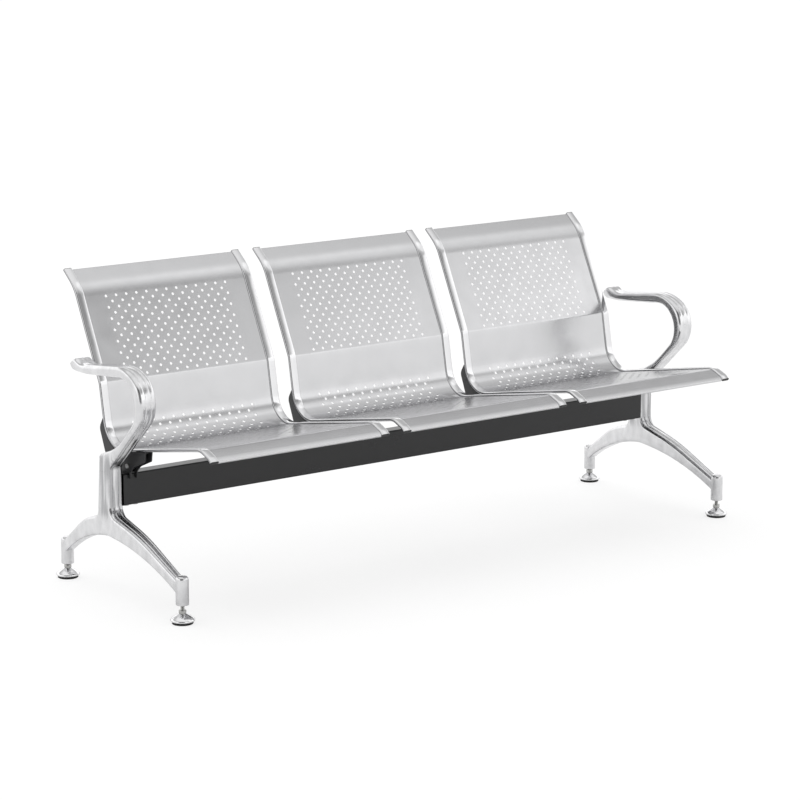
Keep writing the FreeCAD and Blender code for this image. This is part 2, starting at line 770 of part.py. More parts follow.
def rail_bolt(y):
    """A button-head bolt up through the web into a rail."""
    base = below_seat_line(y, size.rail_thick / 2 + size.bracket_wall)
    grip = size.bracket_wall + size.rail_thick - size.rail_wall
    shank = rod(size.rail_bolt_shank, grip, base, lift(under) * -1)
    return shank.fuse(rod(size.rail_bolt_head, size.rail_bolt_head_high, base, lift(under)))


def rail_nut(y):
    """A rivet nut in a rail's lower wall."""
    base = below_seat_line(y, size.rail_thick / 2)
    body = rod(size.rail_nut_wide, size.rail_thick - size.rail_wall, base, lift(under) * -1)
    return body.cut(rod(size.rail_bolt_shank, size.rail_thick, base, lift(under) * -1))


for k, seat_name in zip((-1, 0, 1), seat_names):
    rail_x = [k * seat_pitch + side * rail_reach for word, side in side_names]
    group(seat_name + "_saddle_bolts", [moved(saddle_bolt(shift), x) for x in rail_x for shift in (-1, 1)])
    group(seat_name + "_rail_bolts", [moved(rail_bolt(y), x) for x in rail_x for y in rail_bolt_places])
    group(seat_name + "_rail_nuts", [moved(rail_nut(y), x) for x in rail_x for y in rail_bolt_places])
group("beam_rivet_nuts", [moved(saddle_nut(shift), x) for x in bracket_places for shift in (-1, 1)])

# Pins: one through the two cheeks of every bracket, headed at both ends.
pin_start = Vector(-size.bracket_wide / 2, size.pin_y, size.pin_z)
pin = rod(size.pin_wide, size.bracket_wide, pin_start, ALONG)
pin = pin.fuse(rod(size.pin_head_wide, size.pin_head_high, pin_start, ALONG * -1))
pin = pin.fuse(rod(size.pin_head_wide, size.pin_head_high, pin_start + ALONG * size.bracket_wide, ALONG))
group("bracket_pins", [moved(pin.removeSplitter(), x) for x in bracket_places])

# End castings: a column, a front leg and a rear leg in one piece, with a tongue for the beam.
front_chain = [
    (size.column_front_y, size.seam_z, 0),
    (size.column_front_y, size.leg_front_root_z, size.leg_front_root_radius),
    (size.leg_front_knee_y, size.leg_front_knee_z, size.leg_front_knee_radius),
    (size.foot_front_y, size.leg_front_end_z, 0),
]
rear_chain = [
    (size.column_rear_y, size.seam_z, 0),
    (size.column_rear_y, size.leg_rear_root_z, size.leg_rear_root_radius),
    (size.leg_rear_knee_y, size.leg_rear_knee_z, size.leg_rear_knee_radius),
    (size.foot_rear_y, size.leg_rear_end_z, 0),
]
arch = [
    Vector(size.foot_front_y, size.arch_front_end_z, 0),
    Vector(size.arch_front_y, size.arch_front_z, 0),
    Vector(size.arch_top_y, size.arch_top_z, 0),
    Vector(size.arch_rear_y, size.arch_rear_z, 0),
    Vector(size.foot_rear_y, size.arch_rear_end_z, 0),
]
leg_outline = run(front_chain) + run(rear_chain)
leg_outline += [
    Part.LineSegment(Vector(*front_chain[0][:2], 0), Vector(*rear_chain[0][:2], 0)),
    Part.LineSegment(Vector(*front_chain[-1][:2], 0), arch[0]),
    Part.Arc(arch[0], arch[1], arch[2]),
    Part.Arc(arch[2], arch[3], arch[4]),
    Part.LineSegment(arch[4], Vector(*rear_chain[-1][:2], 0)),
]
column_middle_y = (size.column_front_y + size.column_rear_y) / 2
COLUMN_Y = "(Sizes.column_front_y + Sizes.column_rear_y) / 2"
foot_places = (
    ("front", size.foot_front_y, size.socket_front_bottom_z, size.socket_front_top_z, size.stud_front_top_z),
    ("rear", size.foot_rear_y, size.socket_rear_bottom_z, size.socket_rear_top_z, size.stud_rear_top_z),
)
collar_top_z = size.collar_bottom_z + size.collar_high


def on_y_axis(sketch, y):
    """Carry a side sketch so that its upright axis stands at a depth."""
    sketch.AttachmentOffset = Placement(Vector(y, 0, 0), Rotation())


def spun(body, name, edges, y, kind="PartDesign::Revolution"):
    """A round feature about an upright axis at a depth."""
    sketch = new_sketch(body, name + "_half", "YZ_Plane", edges)
    on_y_axis(sketch, y)
    feature = body.newObject(kind, body.Name + "_" + name)
    feature.Profile = sketch
    feature.ReferenceAxis = (sketch, ["V_Axis"])
    feature.Angle = 360
    return feature


def lines(points):
    """Straight edges round a closed outline."""
    corners = [Vector(a, b, 0) for a, b in points]
    return [Part.LineSegment(corners[i - 1], corners[i]) for i in range(len(corners))]


def groove(body, name, corners, right, left):
    """Two long grooves that follow a line of the outline."""
    for word, side in side_names:
        sketch = new_sketch(body, name + "_" + word, "YZ_Plane", strip(corners, right, left),
                            side * size.groove_shift)
        pocket(sketch, name + "_cut_" + word, "Sizes.groove_wide")


def end_casting(name, inboard):
    """One leg; inboard is +1 where the beam lies at its plus side."""
    leg = new_body(name)
    pad(new_sketch(leg, "outline", "YZ_Plane", leg_outline), "blank", "Sizes.column_wide")
    half = size.column_wide / 2
    narrow = size.leg_end_wide / 2
    clear = size.taper_room
    for word, side in side_names:
        plan = [
            (side * (half + clear), size.foot_front_y - clear),
            (side * narrow, size.foot_front_y - clear),
            (side * narrow, size.foot_front_y),
            (side * half, size.column_front_y),
            (side * half, size.column_rear_y),
            (side * narrow, size.foot_rear_y),
            (side * narrow, size.foot_rear_y + clear),
            (side * (half + clear), size.foot_rear_y + clear),
        ]
        pocket(new_sketch(leg, "taper_" + word, "XY_Plane", lines(plan)), "taper_cut_" + word)
    groove(leg, "front_groove", front_chain, -size.cut_room, size.groove_deep)
    groove(leg, "rear_groove", rear_chain, -size.groove_deep, size.cut_room)
    for word, y, low, high, stud_top in foot_places:
        r = size.socket_wide / 2
        dome = size.socket_dome
        bend = dome * (1 - math.sqrt(0.5))
        shape = [
            Part.LineSegment(Vector(0, low, 0), Vector(r, low, 0)),
            Part.LineSegment(Vector(r, low, 0), Vector(r, high - dome, 0)),
            Part.Arc(Vector(r, high - dome, 0), Vector(r - bend, high - bend, 0), Vector(r - dome, high, 0)),
            Part.LineSegment(Vector(r - dome, high, 0), Vector(0, high, 0)),
            Part.LineSegment(Vector(0, high, 0), Vector(0, low, 0)),
        ]
        spun(leg, word + "_socket", shape, y)
        room = size.stud_wide / 2 + size.stud_room
        room_top = stud_top + low - collar_top_z + size.stud_room_above
        wide = size.insert_wide / 2
        bore = [(0, low), (wide, low), (wide, low + size.insert_long), (room, low + size.insert_long),
                (room, room_top), (0, room_top)]
        spun(leg, word + "_socket_bore", lines(bore), y, "PartDesign::Groove")
    reach = half * inboard
    tongue_half = bore_half[0] - size.tongue_play
    tongue_low = (bore_low[0] + size.tongue_play, bore_low[1] + " + Sizes.tongue_play")
    tongue_top = (tongue_low[0] + size.tongue_high, tongue_low[1] + " + Sizes.tongue_high")
    low = (-tongue_half, "-(%s - Sizes.tongue_play)" % bore_half[1]), tongue_low
    high = (tongue_half, "%s - Sizes.tongue_play" % bore_half[1]), tongue_top
    tongue = box_sketch(leg, "tongue", "YZ_Plane", low, high, reach)
    pad(tongue, "tongue_bar", "Sizes.tongue_long", "One side", inboard < 0)
    screw_z = size.beam_bottom_z + size.beam_wall + size.tongue_play
    taps = new_sketch(leg, "screw_holes", "XY_Plane", [], screw_z)
    for k in (0, 1):
        formula = "%d * (Sizes.column_wide / 2 + Sizes.beam_screw_first + %d * Sizes.beam_screw_spacing)"
        place = inboard * (half + size.beam_screw_first + k * size.beam_screw_spacing)
        circle(taps, (place, formula % (inboard, k)), (0, "0"), sized("beam_screw_shank"))
    tap_deep = "Sizes.beam_screw_long - Sizes.beam_wall - Sizes.tongue_play"
    pocket(taps, "screw_drill", tap_deep, "One side", True)
    room = size.tenon_wide / 2 + size.tenon_play
    grown = " Sizes.tenon_wide / 2 %s Sizes.tenon_play"
    low = (-room, "-" + grown % "-"), (column_middle_y - room, COLUMN_Y + " -" + grown % "-")
    high = (room, grown % "+"), (column_middle_y + room, COLUMN_Y + " +" + grown % "+")
    mortise = box_sketch(leg, "mortise", "XY_Plane", low, high, size.seam_z)
    pocket(mortise, "mortise_cut", "Sizes.tenon_long + Sizes.tenon_room", "One side")
    for word, diameter, depth in (
        ("head", "arm_screw_head", "Sizes.arm_screw_head_high"),
        ("shank", "arm_screw_shank", "Sizes.column_rear_y - %s - Sizes.tenon_wide / 2" % COLUMN_Y),
    ):
        rear = new_sketch(leg, "arm_screw_" + word, "XZ_Plane", [], -size.column_rear_y)
        for k in (0, 1):
            up = (size.arm_screw_top_z - k * size.arm_screw_spacing,
                  "Sizes.arm_screw_top_z - %d * Sizes.arm_screw_spacing" % k)
            circle(rear, (0, "0"), up, sized(diameter))
        pocket(rear, "arm_screw_drill_" + word, depth, "One side", True)
    leg.setExpression("Placement.Base.x", "%d * %s" % (-inboard, COLUMN_X))
    return leg


for word, side in side_names:
    end_casting(word + "_leg", -side)

# Arms: a flattened loop that rises forward from the column's top, turns over and runs to the rear.
arm_end = (size.arm_end_y, size.arm_end_z, 0)
arm_over = [
    (size.arm_end_y, size.roll_over_z, size.roll_over_radius),
    (size.neck_y, size.neck_z, size.neck_radius),
    (size.arm_over_top_y, size.arm_over_top_z, size.arm_over_top_radius),
    (size.arm_over_front_y, size.arm_over_front_z, size.arm_over_front_radius),
    (size.column_front_y, size.arm_front_root_z, size.arm_front_root_radius),
    (size.column_front_y, size.seam_z, 0),
]
arm_under = [
    (size.arm_end_y, size.roll_under_z, size.roll_under_radius),
    (size.arm_under_y, size.arm_under_z, size.arm_under_radius),
    (size.arm_under_top_y, size.arm_under_top_z, size.arm_under_top_radius),
    (size.arm_under_front_y, size.arm_under_front_z, size.arm_under_front_radius),
    (size.arm_rear_root_y, size.arm_rear_root_z, size.arm_rear_root_radius),
    (size.column_rear_y, size.column_top_z, size.column_corner),
    (size.column_rear_y, size.seam_z, 0),
]
groove_way = way_between(arm_over[1], arm_over[2])
groove_start = Vector(size.neck_y, size.neck_z, 0) + groove_way * size.arm_groove_start



def looped_arm(name, inboard):
    """One arm with the tenon that holds it in the column."""
    arm = new_body(name)
    outline = run([arm_end] + arm_over + arm_under[::-1] + [arm_end])
    pad(new_sketch(arm, "outline", "YZ_Plane", outline), "blank", "Sizes.arm_wide")
    half = size.column_wide / 2
    wide = size.arm_wide / 2
    for word, side in side_names:
        front_view = [
            (side * half, size.seam_z - half),
            (side * half, size.column_top_z),
            (side * wide, size.arm_taper_z),
            (side * (wide + half), size.arm_taper_z),
            (side * (wide + half), size.seam_z - half),
        ]
        pocket(new_sketch(arm, "taper_" + word, "XZ_Plane", lines(front_view)), "taper_cut_" + word)
    groove_line = [(groove_start.x, groove_start.y, 0)] + arm_over[2:]
    groove(arm, "groove", groove_line, -size.cut_room, size.groove_deep)
    reach = size.tenon_wide / 2
    low = (-reach, "-Sizes.tenon_wide / 2"), (column_middle_y - reach, COLUMN_Y + " - Sizes.tenon_wide / 2")
    high = (reach, "Sizes.tenon_wide / 2"), (column_middle_y + reach, COLUMN_Y + " + Sizes.tenon_wide / 2")
    tenon = box_sketch(arm, "tenon", "XY_Plane", low, high, size.seam_z)
    pad(tenon, "tenon_bar", "Sizes.tenon_long", "One side", True)
    taps = new_sketch(arm, "screw_holes", "XZ_Plane", [], -column_middle_y - reach)
    for k in (0, 1):
        up = (size.arm_screw_top_z - k * size.arm_screw_spacing,
              "Sizes.arm_screw_top_z - %d * Sizes.arm_screw_spacing" % k)
        circle(taps, (0, "0"), up, sized("arm_screw_shank"))
    wall = "(Sizes.column_rear_y - Sizes.arm_screw_head_high - %s - Sizes.tenon_wide / 2)" % COLUMN_Y
    pocket(taps, "screw_drill", "Sizes.arm_screw_long - " + wall, "One side", True)
    arm.setExpression("Placement.Base.x", "%d * %s" % (-inboard, COLUMN_X))
    return arm


for word, side in side_names:
    looped_arm(word + "_arm", -side)

# Screws of the ends: up into each tongue, and from the rear into each tenon.
for word, side in side_names:
    shapes = []
    for place in screw_places:
        base = Vector(side * place, 0, size.beam_bottom_z)
        shank = rod(size.beam_screw_shank, size.beam_screw_long, base)
        shapes.append(shank.fuse(rod(size.beam_screw_head, size.beam_screw_head_high, base, UP * -1)))
    group(word + "_beam_screws", shapes)
    shapes = []
    for k in (0, 1):
        base = Vector(side * column_x, size.column_rear_y, size.arm_screw_top_z - k * size.arm_screw_spacing)
        inward = Vector(0, -1, 0)
        head = rod(size.arm_screw_head, size.arm_screw_head_high, base, inward)
        shank = rod(size.arm_screw_shank, size.arm_screw_head_high + size.arm_screw_long, base, inward)
        shapes.append(head.fuse(shank))
    group(word + "_arm_screws", shapes)

# Glides: a threaded insert in each socket, a stud with a hexagon and a ball, a pad and a rubber sole.
inserts = []
for side_word, side in side_names:
    for word, y, low, high, stud_top in foot_places:
        base = Vector(side * column_x, y, low)
        tube = rod(size.insert_wide, size.insert_long, base)
        inserts.append(tube.cut(rod(size.stud_wide + 2 * size.thread_play, size.insert_long, base)))
group("socket_inserts", inserts)


def glide(prefix, side, y, stud_top):
    """The stud, pad and sole under one socket."""
    formula = "%d * %s" % (side, COLUMN_X)
    stud = new_body(prefix + "_stud")
    ball = size.ball_wide / 2
    neck = size.neck_wide / 2
    seat_z = size.ball_z + math.sqrt(ball ** 2 - neck ** 2)
    r = size.stud_wide / 2
    shoulder_z = stud_top - size.stud_chamfer
    spun(stud, "shank", [
        Part.Arc(Vector(0, size.ball_z - ball, 0), Vector(ball, size.ball_z, 0), Vector(neck, seat_z, 0)),
        Part.LineSegment(Vector(neck, seat_z, 0), Vector(neck, size.collar_bottom_z, 0)),
        Part.LineSegment(Vector(neck, size.collar_bottom_z, 0), Vector(r, size.collar_bottom_z, 0)),
        Part.LineSegment(Vector(r, size.collar_bottom_z, 0), Vector(r, shoulder_z, 0)),
        Part.LineSegment(Vector(r, shoulder_z, 0), Vector(r - size.stud_chamfer, stud_top, 0)),
        Part.LineSegment(Vector(r - size.stud_chamfer, stud_top, 0), Vector(0, stud_top, 0)),
        Part.LineSegment(Vector(0, stud_top, 0), Vector(0, size.ball_z - ball, 0)),
    ], y)
    reach = size.collar_flats / math.sqrt(3)
    turns = [math.radians(60 * k) for k in range(6)]
    flats = [(reach * math.cos(a), y + reach * math.sin(a)) for a in turns]
    flat_sketch = new_sketch(stud, "hexagon", "XY_Plane", lines(flats), size.collar_bottom_z)
    pad(flat_sketch, "collar", "Sizes.collar_high", "One side")
    stud.setExpression("Placement.Base.x", formula)

    foot = new_body(prefix + "_pad")
    cavity = ball + size.ball_play
    mouth = size.neck_hole / 2
    mouth_z = size.ball_z + math.sqrt(cavity ** 2 - mouth ** 2)
    rim = size.pad_wide / 2
    under_rim = size.sole_wide / 2
    top = size.pad_top_wide / 2
    rim_low = size.pad_rim_z - size.pad_rim_high / 2
    rim_high = size.pad_rim_z + size.pad_rim_high / 2
    slope = Vector(rim - top, rim_high - size.pad_top_z, 0).normalize()
    slope_middle = Vector((rim + top) / 2, (rim_high + size.pad_top_z) / 2, 0) + turned(slope) * size.pad_bulge
    spun(foot, "shell", [
        Part.LineSegment(Vector(0, size.sole_high, 0), Vector(under_rim, size.sole_high, 0)),
        Part.LineSegment(Vector(under_rim, size.sole_high, 0), Vector(rim, rim_low, 0)),
        Part.LineSegment(Vector(rim, rim_low, 0), Vector(rim, rim_high, 0)),
        Part.Arc(Vector(rim, rim_high, 0), slope_middle, Vector(top, size.pad_top_z, 0)),
        Part.LineSegment(Vector(top, size.pad_top_z, 0), Vector(mouth, size.pad_top_z, 0)),
        Part.LineSegment(Vector(mouth, size.pad_top_z, 0), Vector(mouth, mouth_z, 0)),
        Part.Arc(Vector(mouth, mouth_z, 0), Vector(cavity, size.ball_z, 0), Vector(0, size.ball_z - cavity, 0)),
        Part.LineSegment(Vector(0, size.ball_z - cavity, 0), Vector(0, size.sole_high, 0)),
    ], y)
    foot.setExpression("Placement.Base.x", formula)

    sole = new_body(prefix + "_sole")
    edge = size.sole_chamfer
    half_disc = [(0, 0), (under_rim - edge, 0), (under_rim, edge)]
    half_disc += [(under_rim, size.sole_high), (0, size.sole_high)]
    spun(sole, "disc", lines(half_disc), y)
    sole.setExpression("Placement.Base.x", formula)


for side_word, side in side_names:
    for word, y, low, high, stud_top in foot_places:
        glide("%s_%s" % (side_word, word), side, y, stud_top)

doc.recompute()
for thing in doc.Objects:
    if "Invalid" in thing.State or "Error" in thing.State:
        raise RuntimeError("failed: " + thing.Name)
for part in sub_parts:
    if part.Shape.isNull() or not part.Shape.isValid():
        raise RuntimeError("bad shape: " + part.Label)

# The bench stands with the middle of its footprint at the origin.
whole = FreeCAD.BoundBox()
for part in sub_parts:
    whole.add(part.Shape.BoundBox)
for part in sub_parts:
    part.Placement = Placement(Vector(0, -(whole.YMin + whole.YMax) / 2, 0), Rotation()) * part.Placement
doc.recompute()
for part in sub_parts:
    part.Shape.exportStep("parts/" + part.Label + ".step")
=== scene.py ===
import bmesh
import bpy
import math
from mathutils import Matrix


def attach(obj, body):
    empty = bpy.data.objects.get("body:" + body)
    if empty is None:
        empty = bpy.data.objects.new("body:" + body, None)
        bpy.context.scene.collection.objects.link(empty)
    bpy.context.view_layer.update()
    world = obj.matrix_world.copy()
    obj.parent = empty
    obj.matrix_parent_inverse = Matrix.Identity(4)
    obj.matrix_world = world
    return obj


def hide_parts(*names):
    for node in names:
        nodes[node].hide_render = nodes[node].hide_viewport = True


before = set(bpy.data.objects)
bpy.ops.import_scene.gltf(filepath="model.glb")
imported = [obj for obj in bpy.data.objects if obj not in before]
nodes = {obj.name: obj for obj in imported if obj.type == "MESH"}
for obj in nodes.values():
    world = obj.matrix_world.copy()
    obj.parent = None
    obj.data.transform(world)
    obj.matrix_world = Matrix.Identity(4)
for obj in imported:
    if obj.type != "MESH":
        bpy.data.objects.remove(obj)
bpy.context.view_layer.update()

# Beam: one rectangular steel tube that carries all three seats. It is powder coated satin black, a coat
# with a faint pebbled skin that dust and sleeves dull unevenly. The tube itself comes from the frame.


def group_sockets(tree, ins, outs):
    """Named inputs and outputs of a shader group, with its two end nodes."""
    for name, kind, value in ins:
        socket = tree.interface.new_socket(name, in_out="INPUT", socket_type=kind)
        socket.default_value = value
    for name, kind in outs:
        tree.interface.new_socket(name, in_out="OUTPUT", socket_type=kind)
    return tree.nodes.new("NodeGroupInput"), tree.nodes.new("NodeGroupOutput")


def feed(tree, socket, value):
    """Set an input of a node to a value, or join it to another node's output."""
    if isinstance(value, bpy.types.NodeSocket):
        tree.links.new(value, socket)
    else:
        socket.default_value = value


def cloud_noise(tree, place, per_metre, detail):
    """Soft noise over a place, with so many clouds to the metre."""
    node = tree.nodes.new("ShaderNodeTexNoise")
    node.inputs["Detail"].default_value = detail
    feed(tree, node.inputs["Vector"], place)
    feed(tree, node.inputs["Scale"], per_metre)
    return node.outputs["Fac"]


def carried(tree, value, start, stop, low, high, ease="LINEAR"):
    """A value carried from one range to another, straight or eased at both ends."""
    node = tree.nodes.new("ShaderNodeMapRange")
    node.interpolation_type = ease
    feed(tree, node.inputs["Value"], value)
    feed(tree, node.inputs["From Min"], start)
    feed(tree, node.inputs["From Max"], stop)
    feed(tree, node.inputs["To Min"], low)
    feed(tree, node.inputs["To Max"], high)
    return node.outputs["Result"]


MIX_SHARE, MIX_FIRST, MIX_SECOND, MIX_RESULT = 0, 6, 7, 2


def colour_mix(tree, share, first, second):
    """A mix of two colours by a share from 0 to 1."""
    node = tree.nodes.new("ShaderNodeMix")
    node.data_type = "RGBA"
    feed(tree, node.inputs[MIX_SHARE], share)
    feed(tree, node.inputs[MIX_FIRST], first)
    feed(tree, node.inputs[MIX_SECOND], second)
    return node.outputs[MIX_RESULT]


def raised(tree, height, depth, strength=1.0, under=None):
    """The surface's normal where a height raises it, on top of another normal if one is given."""
    node = tree.nodes.new("ShaderNodeBump")
    node.inputs["Strength"].default_value = strength
    node.inputs["Distance"].default_value = depth
    tree.links.new(height, node.inputs["Height"])
    if under:
        tree.links.new(under, node.inputs["Normal"])
    return node.outputs["Normal"]


def pebbled_skin_group():
    """The skin of a baked coat: fine pebbles for the bump and slow patches for the gloss."""
    tree = bpy.data.node_groups.new("pebbled_skin", "ShaderNodeTree")
    enter, leave = group_sockets(
        tree,
        [("Pebbles per metre", "NodeSocketFloat", 500.0), ("Patches per metre", "NodeSocketFloat", 9.0)],
        [("Height", "NodeSocketFloat"), ("Patch", "NodeSocketFloat")],
    )
    place = tree.nodes.new("ShaderNodeTexCoord").outputs["Object"]
    for result, rate, detail in (("Height", "Pebbles per metre", 2.0), ("Patch", "Patches per metre", 4.0)):
        tree.links.new(cloud_noise(tree, place, enter.outputs[rate], detail), leave.inputs[result])
    return tree


pebbled_skin = pebbled_skin_group()


def coated(name, colour, dusty, gloss, worn_gloss, pebbles, depth):
    """A black coat on steel or a moulded black: colour and gloss drift over slow patches."""
    material = bpy.data.materials.new(name)
    material.use_nodes = True
    tree = material.node_tree
    surface = tree.nodes["Principled BSDF"]
    skin = tree.nodes.new("ShaderNodeGroup")
    skin.node_tree = pebbled_skin
    skin.inputs["Pebbles per metre"].default_value = pebbles
    patch = skin.outputs["Patch"]
    tree.links.new(colour_mix(tree, patch, (*colour, 1), (*dusty, 1)), surface.inputs["Base Color"])
    tree.links.new(carried(tree, patch, 0.0, 1.0, gloss, worn_gloss), surface.inputs["Roughness"])
    tree.links.new(raised(tree, skin.outputs["Height"], depth, strength=0.35), surface.inputs["Normal"])
    return material


def dress(node, material):
    """Put one finish on every face of a piece that the frame brings."""
    for slot in nodes[node].material_slots:
        slot.material = material


beam_black = coated("satin_black_coat", (0.010, 0.010, 0.011), (0.016, 0.016, 0.017),
                    gloss=0.24, worn_gloss=0.33, pebbles=420.0, depth=0.00002)
dress("beam_tube", beam_black)

# End castings: a column, a front leg and a rear leg poured in one piece of aluminium, ground and polished
# bright. Two cast grooves run down the front and the back, and a round socket stands at each foot.
MM = 0.001
COLUMN = 875.0
COLUMN_FRONT = 38.8
COLUMN_BACK = 98.8
COLUMN_TOP = 318.0
LEG_HALF = 22.0
FOOT_HALF = 14.5
FRONT_FOOT = -252.4
REAR_FOOT = 279.2
FEET = (("front", FRONT_FOOT, 46.0, 118.0), ("rear", REAR_FOOT, 37.0, 107.0))
BACK_TOP = (88.0, COLUMN_TOP)
BACK_KNEE = (97.0, 198.5)
FRONT_LINE = [(COLUMN_FRONT, COLUMN_TOP, 0), (COLUMN_FRONT, 211.5, 28), (-84.7, 179.5, 600),
              (FRONT_FOOT, 105.5, 0)]
REAR_LINE = [(*BACK_TOP, 0), (*BACK_KNEE, 24), (163.8, 184.0, 190), (REAR_FOOT, 97.5, 0)]
CROWN = (50.8, 156.5)
FRONT_ARCH = ((FRONT_FOOT, 69.5), (-99.7, 131.0), CROWN)
REAR_ARCH = (CROWN, (164.3, 130.0), (REAR_FOOT, 62.0))
CAST_GROOVE = 1.4
FACE_ROUND_IN = 11.0
FACE_ROUND_DOWN = 10.0
ARCH_ROUND = 8.0
FLANK_STEPS = 6
ROOT_STEPS = 24
LEG_STEPS = 44
SOCKET_RADIUS = 16.0
SOCKET_CROWN = 9.0
SOCKET_BORE = 8.2


def pieces_of(corners):
    """Straight runs and tangent arcs of a side outline given as (depth, height, radius) in mm."""
    spots = [(c[0], c[1]) for c in corners]
    ways = []
    for a, b in zip(spots, spots[1:]):
        length = math.dist(a, b)
        ways.append(((b[0] - a[0]) / length, (b[1] - a[1]) / length))
    pieces = []
    start = spots[0]
    for i in range(1, len(spots) - 1):
        before, after = ways[i - 1], ways[i]
        cross = before[0] * after[1] - before[1] * after[0]
        turn = math.atan2(cross, before[0] * after[0] + before[1] * after[1])
        radius = corners[i][2]
        back = radius * math.tan(abs(turn) / 2)
        end = (spots[i][0] - before[0] * back, spots[i][1] - before[1] * back)
        pieces.append(("run", start, before, math.dist(start, end), 0.0))
        pieces.append(("bend", end, before, radius * abs(turn), turn))
        start = (spots[i][0] + after[0] * back, spots[i][1] + after[1] * back)
    pieces.append(("run", start, ways[-1], math.dist(start, spots[-1]), 0.0))
    return pieces


def place_on(pieces, distance):
    """Point and direction at a distance along an outline."""
    for kind, start, way, length, turn in pieces:
        if distance <= length or (kind, start, way, length, turn) == pieces[-1]:
            break
        distance -= length
    if kind == "run" or length == 0:
        return (start[0] + way[0] * distance, start[1] + way[1] * distance), way
    radius = length / abs(turn)
    angle = math.copysign(distance / radius, turn)
    side = math.copysign(1.0, turn)
    left = (-way[1], way[0])
    centre = (start[0] + left[0] * radius * side, start[1] + left[1] * radius * side)
    c, s = math.cos(angle), math.sin(angle)
    arm = (start[0] - centre[0], start[1] - centre[1])
    spot = (centre[0] + arm[0] * c - arm[1] * s, centre[1] + arm[0] * s + arm[1] * c)
    return spot, (way[0] * c - way[1] * s, way[0] * s + way[1] * c)


def arc_through(a, b, c, count):
    """Points and directions along the circle through three points."""
    ax, ay, bx, by, cx, cy = *a, *b, *c
    aa, bb, cc = ax ** 2 + ay ** 2, bx ** 2 + by ** 2, cx ** 2 + cy ** 2
    double = 2 * (ax * (by - cy) + bx * (cy - ay) + cx * (ay - by))
    ux = (aa * (by - cy) + bb * (cy - ay) + cc * (ay - by)) / double
    uy = (aa * (cx - bx) + bb * (ax - cx) + cc * (bx - ax)) / double
    radius = math.dist(a, (ux, uy))
    first = math.atan2(ay - uy, ax - ux)
    last = math.atan2(cy - uy, cx - ux)
    middle = math.atan2(by - uy, bx - ux)
    if not min(first, last) <= middle <= max(first, last):
        last += math.copysign(2 * math.pi, first - last)
    turn = math.copysign(1.0, last - first)
    line = []
    for k in range(count + 1):
        angle = first + (last - first) * k / count
        spot = (ux + radius * math.cos(angle), uy + radius * math.sin(angle))
        line.append((spot, (-math.sin(angle) * turn, math.cos(angle) * turn)))
    return line


def leg_width_at(spot):
    """Half the casting's width at a place: full at the column, drawn in to the feet."""
    if spot[0] < COLUMN_FRONT:
        share = (COLUMN_FRONT - spot[0]) / (COLUMN_FRONT - FRONT_FOOT)
    else:
        share = (spot[0] - COLUMN_BACK) / (REAR_FOOT - COLUMN_BACK)
    return LEG_HALF + (FOOT_HALF - LEG_HALF) * min(max(share, 0.0), 1.0)


def rim_profile(half, round_in, round_down, groove):
    """One face of a casting from flank to flank: (offset across, depth below the face)."""
    steps = 6
    scale = min(half / LEG_HALF, 1.0)
    side = []
    for k in range(steps + 1):
        angle = math.pi / 2 * k / steps
        side.append((half - round_in * scale * (1 - math.cos(angle)), round_down * (1 - math.sin(angle))))
    cut = [(10.6, 0.0), (10.0, 0.17), (9.2, 0.8), (8.4, 1.0), (7.6, 1.0), (6.8, 0.8), (6.0, 0.17),
           (5.4, 0.0)]
    side += [(across * scale, deep * groove) for across, deep in cut]
    side += [(2.7 * scale, -0.25), (0.0, -0.35)]
    return side + [(-across, deep) for across, deep in side[-2::-1]]


def skin(verts, faces, line, half_at, inward, grooves, round_in, rounds_down):
    """Strips of a casting's face along a line of (point, direction), from one flank to the other."""
    strips = []
    for (spot, way), groove, round_down in zip(line, grooves, rounds_down):
        normal = (-way[1] * inward, way[0] * inward)
        strip = []
        for across, deep in rim_profile(half_at(spot), round_in, round_down, groove):
            strip.append(len(verts))
            verts.append((across, spot[0] + normal[0] * deep, spot[1] + normal[1] * deep))
        strips.append(strip)
    for one, two in zip(strips, strips[1:]):
        for k in range(len(one) - 1):
            faces.append((one[k], one[k + 1], two[k + 1], two[k]))
    return strips


def flanks(verts, faces, strips, others, half_at, steps):
    """Both flanks of a casting: a grid from the strips' ends to other strips' ends, or to points."""
    for end in (0, -1):
        rows = []
        for strip, other in zip(strips, others):
            is_point = isinstance(other, tuple)
            a, b = verts[strip[end]], other if is_point else verts[other[end]]
            row = [strip[end]]
            for k in range(1, steps + 1):
                share = k / steps
                spot = (a[1] + (b[1] - a[1]) * share, a[2] + (b[2] - a[2]) * share)
                if k == steps and not is_point:
                    row.append(other[end])
                    continue
                row.append(len(verts))
                verts.append((math.copysign(half_at(spot), a[0]), *spot))
            rows.append(row)
        for one, two in zip(rows, rows[1:]):
            for k in range(steps):
                faces.append((one[k], one[k + 1], two[k + 1], two[k]))


def join_rings(faces, rings):
    """Faces between neighbouring closed rings of points."""
    for one, two in zip(rings, rings[1:]):
        for k in range(len(one)):
            m = (k + 1) % len(one)
            faces.append((one[k], one[m], two[m], two[k]))


def level_ring(verts, x, y, height, radius_at, sides):
    """One level ring round an upright axis, with a radius for each of its points."""
    ring = []
    for k in range(sides):
        angle = 2 * math.pi * k / sides
        ring.append(len(verts))
        verts.append((x + radius_at(k) * math.cos(angle), y + radius_at(k) * math.sin(angle), height))
    return ring


def turned_form(verts, faces, x, y, profile, sides):
    """A turned form on an upright axis from (radius, height) pairs."""
    rings = [level_ring(verts, x, y, height, lambda k: radius, sides) for radius, height in profile]
    join_rings(faces, rings)


